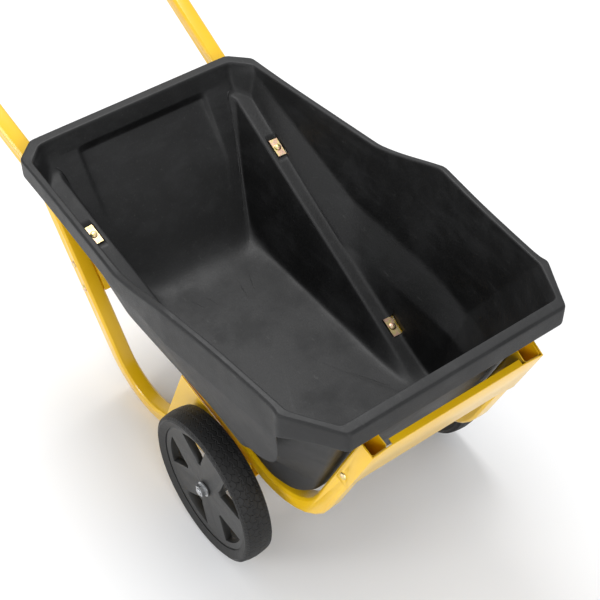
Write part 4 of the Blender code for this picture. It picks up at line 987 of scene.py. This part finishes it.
    @staticmethod
    def mirrored(column: Column) -> Column:
        """The same column on the other side of the tub."""
        def flip(points: Sequence[Vector]) -> Ring:
            """The points with their x turned over."""
            return [Vector((-point.x, point.y, point.z)) for point in points]

        foot = None if column.foot is None else flip([column.foot])[0]
        return Column(flip(column.inside), flip([column.outer])[0], column.skirt, foot,
                      levels=flip(column.levels))

    def build(self) -> bpy.types.Object:
        """Model the tub.

        Returns:
            The finished tub.
        """
        columns = self.spread_corners(self.half_columns())
        columns += [self.mirrored(column) for column in reversed(columns[1:-1])]
        lines = [self.filleted(column) for column in columns]
        rims = [self.rim_line(column) for column in columns]
        inside = [[line[level] for line in lines] for level in range(len(lines[0]))]
        rim = [[line[level] for line in rims] for level in range(len(rims[0]))]
        outside = self.wall_outside(inside)
        rings = list(reversed(inside)) + rim + outside
        shift = Vector((0.0, self.axle_y, 0.0))
        rings = [[point + shift for point in ring] for ring in rings]
        piece = loft("tub_shape", rings)
        subdivide(piece, 2)
        for node in frame["nodes"]:
            if node.startswith("tub_plate"):
                self.sink_pocket(piece, node)
        return piece

    def sink_pocket(self, piece: bpy.types.Object, node: str) -> None:
        """Cut the pocket that a washer plate lies in.

        Args:
            piece: The tub.
            node: The plate's frame node.
        """
        low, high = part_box(node)
        middle = (Vector(low) + Vector(high)) / 2
        side = 1 if middle.x > 0 else -1
        begin()
        bpy.ops.mesh.primitive_cube_add(size=1.0)
        block = bpy.context.object
        turn = Matrix.Rotation(-side * self.splay, 4, "Z") @ Matrix.Rotation(self.slope, 4, "X")
        length, width, height = self.pocket
        block.matrix_world = (Matrix.Translation(middle) @ turn @ Matrix.Translation((0, 0, self.pocket_lift))
                              @ Matrix.Diagonal((width, length, height, 1.0)))
        bpy.context.view_layer.update()
        activate(block)
        bpy.ops.object.transform_apply(location=True, rotation=True, scale=True)
        cut = piece.modifiers.new("pocket", "BOOLEAN")
        cut.operation = "DIFFERENCE"
        cut.solver = "EXACT"
        cut.object = block
        apply_modifiers(piece)
        bpy.data.objects.remove(block)


# ------------------------------------------------------------------ cart
@dataclass
class Materials:
    """Every finish of the cart, made once."""

    axle_y: float
    wheel_x: float
    wheel_z: float

    def __post_init__(self) -> None:
        """Build the materials."""
        self.tub = MouldedPolyethylene().build()
        self.yellow = PowderCoat().build()
        self.zinc = PassivatedZinc().build()
        self.steel = BrightZinc().build()
        self.hub = HubPlastic().build()
        self.bush = BushPlastic().build()
        self.foam = FoamGrip().build()
        self.tyre = TyreRubber(self.axle_y, self.wheel_z, self.wheel_x).build()

    def for_node(self, node: str) -> bpy.types.Material:
        """The finish of a frame node; fasteners and washer plates are zinc."""
        starts = {"tyre": self.tyre, "hub": self.hub, "bush": self.bush, "handle_grip": self.foam,
                  "handle_splice": self.steel, "axle_spacer": self.steel, "frame_tube": self.yellow,
                  "leg": self.yellow, "axle_plate": self.yellow, "axle": self.steel, "nose_plate": self.yellow,
                  "handle_loop": self.yellow}
        for start, finish in starts.items():
            if node.startswith(start):
                return finish
        return self.zinc


@dataclass
class Studio:
    """Pale floor, soft lights and the camera."""

    axle_y: float
    lens: float = 83.18
    camera_from_axle: tuple[float, float, float] = (-1.18964, -1.52427, 2.57128)
    azimuth: float = -36.507
    elevation: float = 46.1525
    roll: float = 0.0776
    surround: float = 0.80
    aim: tuple[float, float, float] = (0.0, -0.2, 0.4)
    # The lamps: name, place, side of the square face and power in watts.
    lamps: tuple[tuple[str, tuple[float, float, float], float, float], ...] = (
        ("top_light", (0.5, 1.3, 3.4), 1.5, 70.0), ("nose_light", (-1.2, -3.6, 2.2), 1.2, 46.0),
        ("side_light", (-3.4, 0.4, 1.5), 1.2, 34.0))

    def build(self) -> None:
        """Place the floor, lights and camera."""
        bpy.context.scene.view_settings.view_transform = "Standard"
        self.floor()
        self.sky()
        for lamp in self.lamps:
            self.lamp(*lamp)
        self.camera()

    def floor(self) -> None:
        """A wide pale floor."""
        begin()
        bpy.ops.mesh.primitive_plane_add(size=14.0, location=(0.0, 0.0, 0.0))
        floor = bpy.context.object
        floor.name = "studio_floor"
        paint = Paint("studio_floor")
        cloud = paint.noise(1.2, 2.0)
        shade = paint.mix(cloud, (0.86, 0.86, 0.86), (0.90, 0.90, 0.90))
        dress(floor, paint.dress(Base_Color=shade, Roughness=0.85))

    def sky(self) -> None:
        """An even pale surround."""
        world = bpy.data.worlds.new("studio_world")
        bpy.context.scene.world = world
        world.use_nodes = True
        background = world.node_tree.nodes["Background"]
        background.inputs["Color"].default_value = (0.97, 0.98, 1.0, 1.0)
        background.inputs["Strength"].default_value = self.surround

    def lamp(self, name: str, place: tuple[float, float, float], size: float, power: float) -> None:
        """One large soft lamp aimed at the cart.

        Args:
            name: Its name.
            place: Where it stands.
            size: Side of its square face.
            power: Its power in watts.
        """
        data = bpy.data.lights.new(name, "AREA")
        data.shape = "SQUARE"
        data.size = size
        data.energy = power
        lamp = bpy.data.objects.new(name, data)
        bpy.context.scene.collection.objects.link(lamp)
        lamp.location = place
        aim = Vector(self.aim) - Vector(place)
        lamp.rotation_euler = aim.to_track_quat("-Z", "Y").to_euler()

    def camera(self) -> None:
        """The camera at the viewing angle."""
        data = bpy.data.cameras.new("studio_camera")
        data.lens = self.lens
        data.sensor_width = 36.0
        camera = bpy.data.objects.new("studio_camera", data)
        bpy.context.scene.collection.objects.link(camera)
        x, y, z = self.camera_from_axle
        camera.matrix_world = (Matrix.Translation((x, y + self.axle_y, z))
                               @ Matrix.Rotation(math.radians(self.azimuth), 4, "Z")
                               @ Matrix.Rotation(math.radians(90.0 - self.elevation), 4, "X")
                               @ Matrix.Rotation(math.radians(-self.roll), 4, "Z"))
        bpy.context.scene.camera = camera


@dataclass
class Cart:
    """The whole cart, dressed."""

    finishes: Materials
    axle_y: float

    def build(self) -> None:
        """Model the new pieces and dress everything else."""
        replaced = set()
        tub = Tub(self.axle_y).build()
        settle(tub, SMOOTH_ALL)
        stand_in(tub, "chassis", self.finishes.tub, "tub", "tub")
        replaced.add("tub")
        for node, width in self.rounded_nodes():
            body = next(name for name, nodes in self.bodies().items() if node in nodes)
            piece = softened(node, width)
            stand_in(piece, body, self.finishes.for_node(node), self.slot_of(node), node)
            replaced.add(node)
        for node, shape in frame["nodes"].items():
            if node not in replaced:
                dress(shape, self.finishes.for_node(node))

    @staticmethod
    def bodies() -> dict[str, list[str]]:
        """The frame's bodies and their nodes."""
        return frame["record"]["behaviour"]["bodies"]

    @staticmethod
    def slot_of(node: str) -> str:
        """The record's material slot of a node."""
        for part in frame["record"]["subparts"]:
            if part["node"] == node:
                return part["material_slot"]
        raise KeyError(node)

    @staticmethod
    def rounded_nodes() -> list[tuple[str, float]]:
        """Frame nodes that are shown with rounded edges, and how round."""
        nodes = [("handle_loop", 0.0022), ("leg_brace", 0.0010), ("nose_plate", 0.0009)]
        for side in Side:
            nodes += [(f"frame_tube_{side.word}", 0.0022), (f"leg_{side.word}", 0.0022),
                      (f"axle_plate_{side.word}", 0.0010), (f"hub_{side.word}", 0.0012)]
        return nodes


def main() -> None:
    """Build the cart and the studio."""
    logging.basicConfig(level=logging.INFO, format="%(message)s")
    joint = frame["joints"][0]
    axle_y = joint["pos_m"][1]
    wheel_z = joint["pos_m"][2]
    wheel_x = abs(joint["pos_m"][0])
    finishes = Materials(axle_y, wheel_x, wheel_z)
    Cart(finishes, axle_y).build()
    Studio(axle_y).build()


if __name__ == "__main__":
    main()
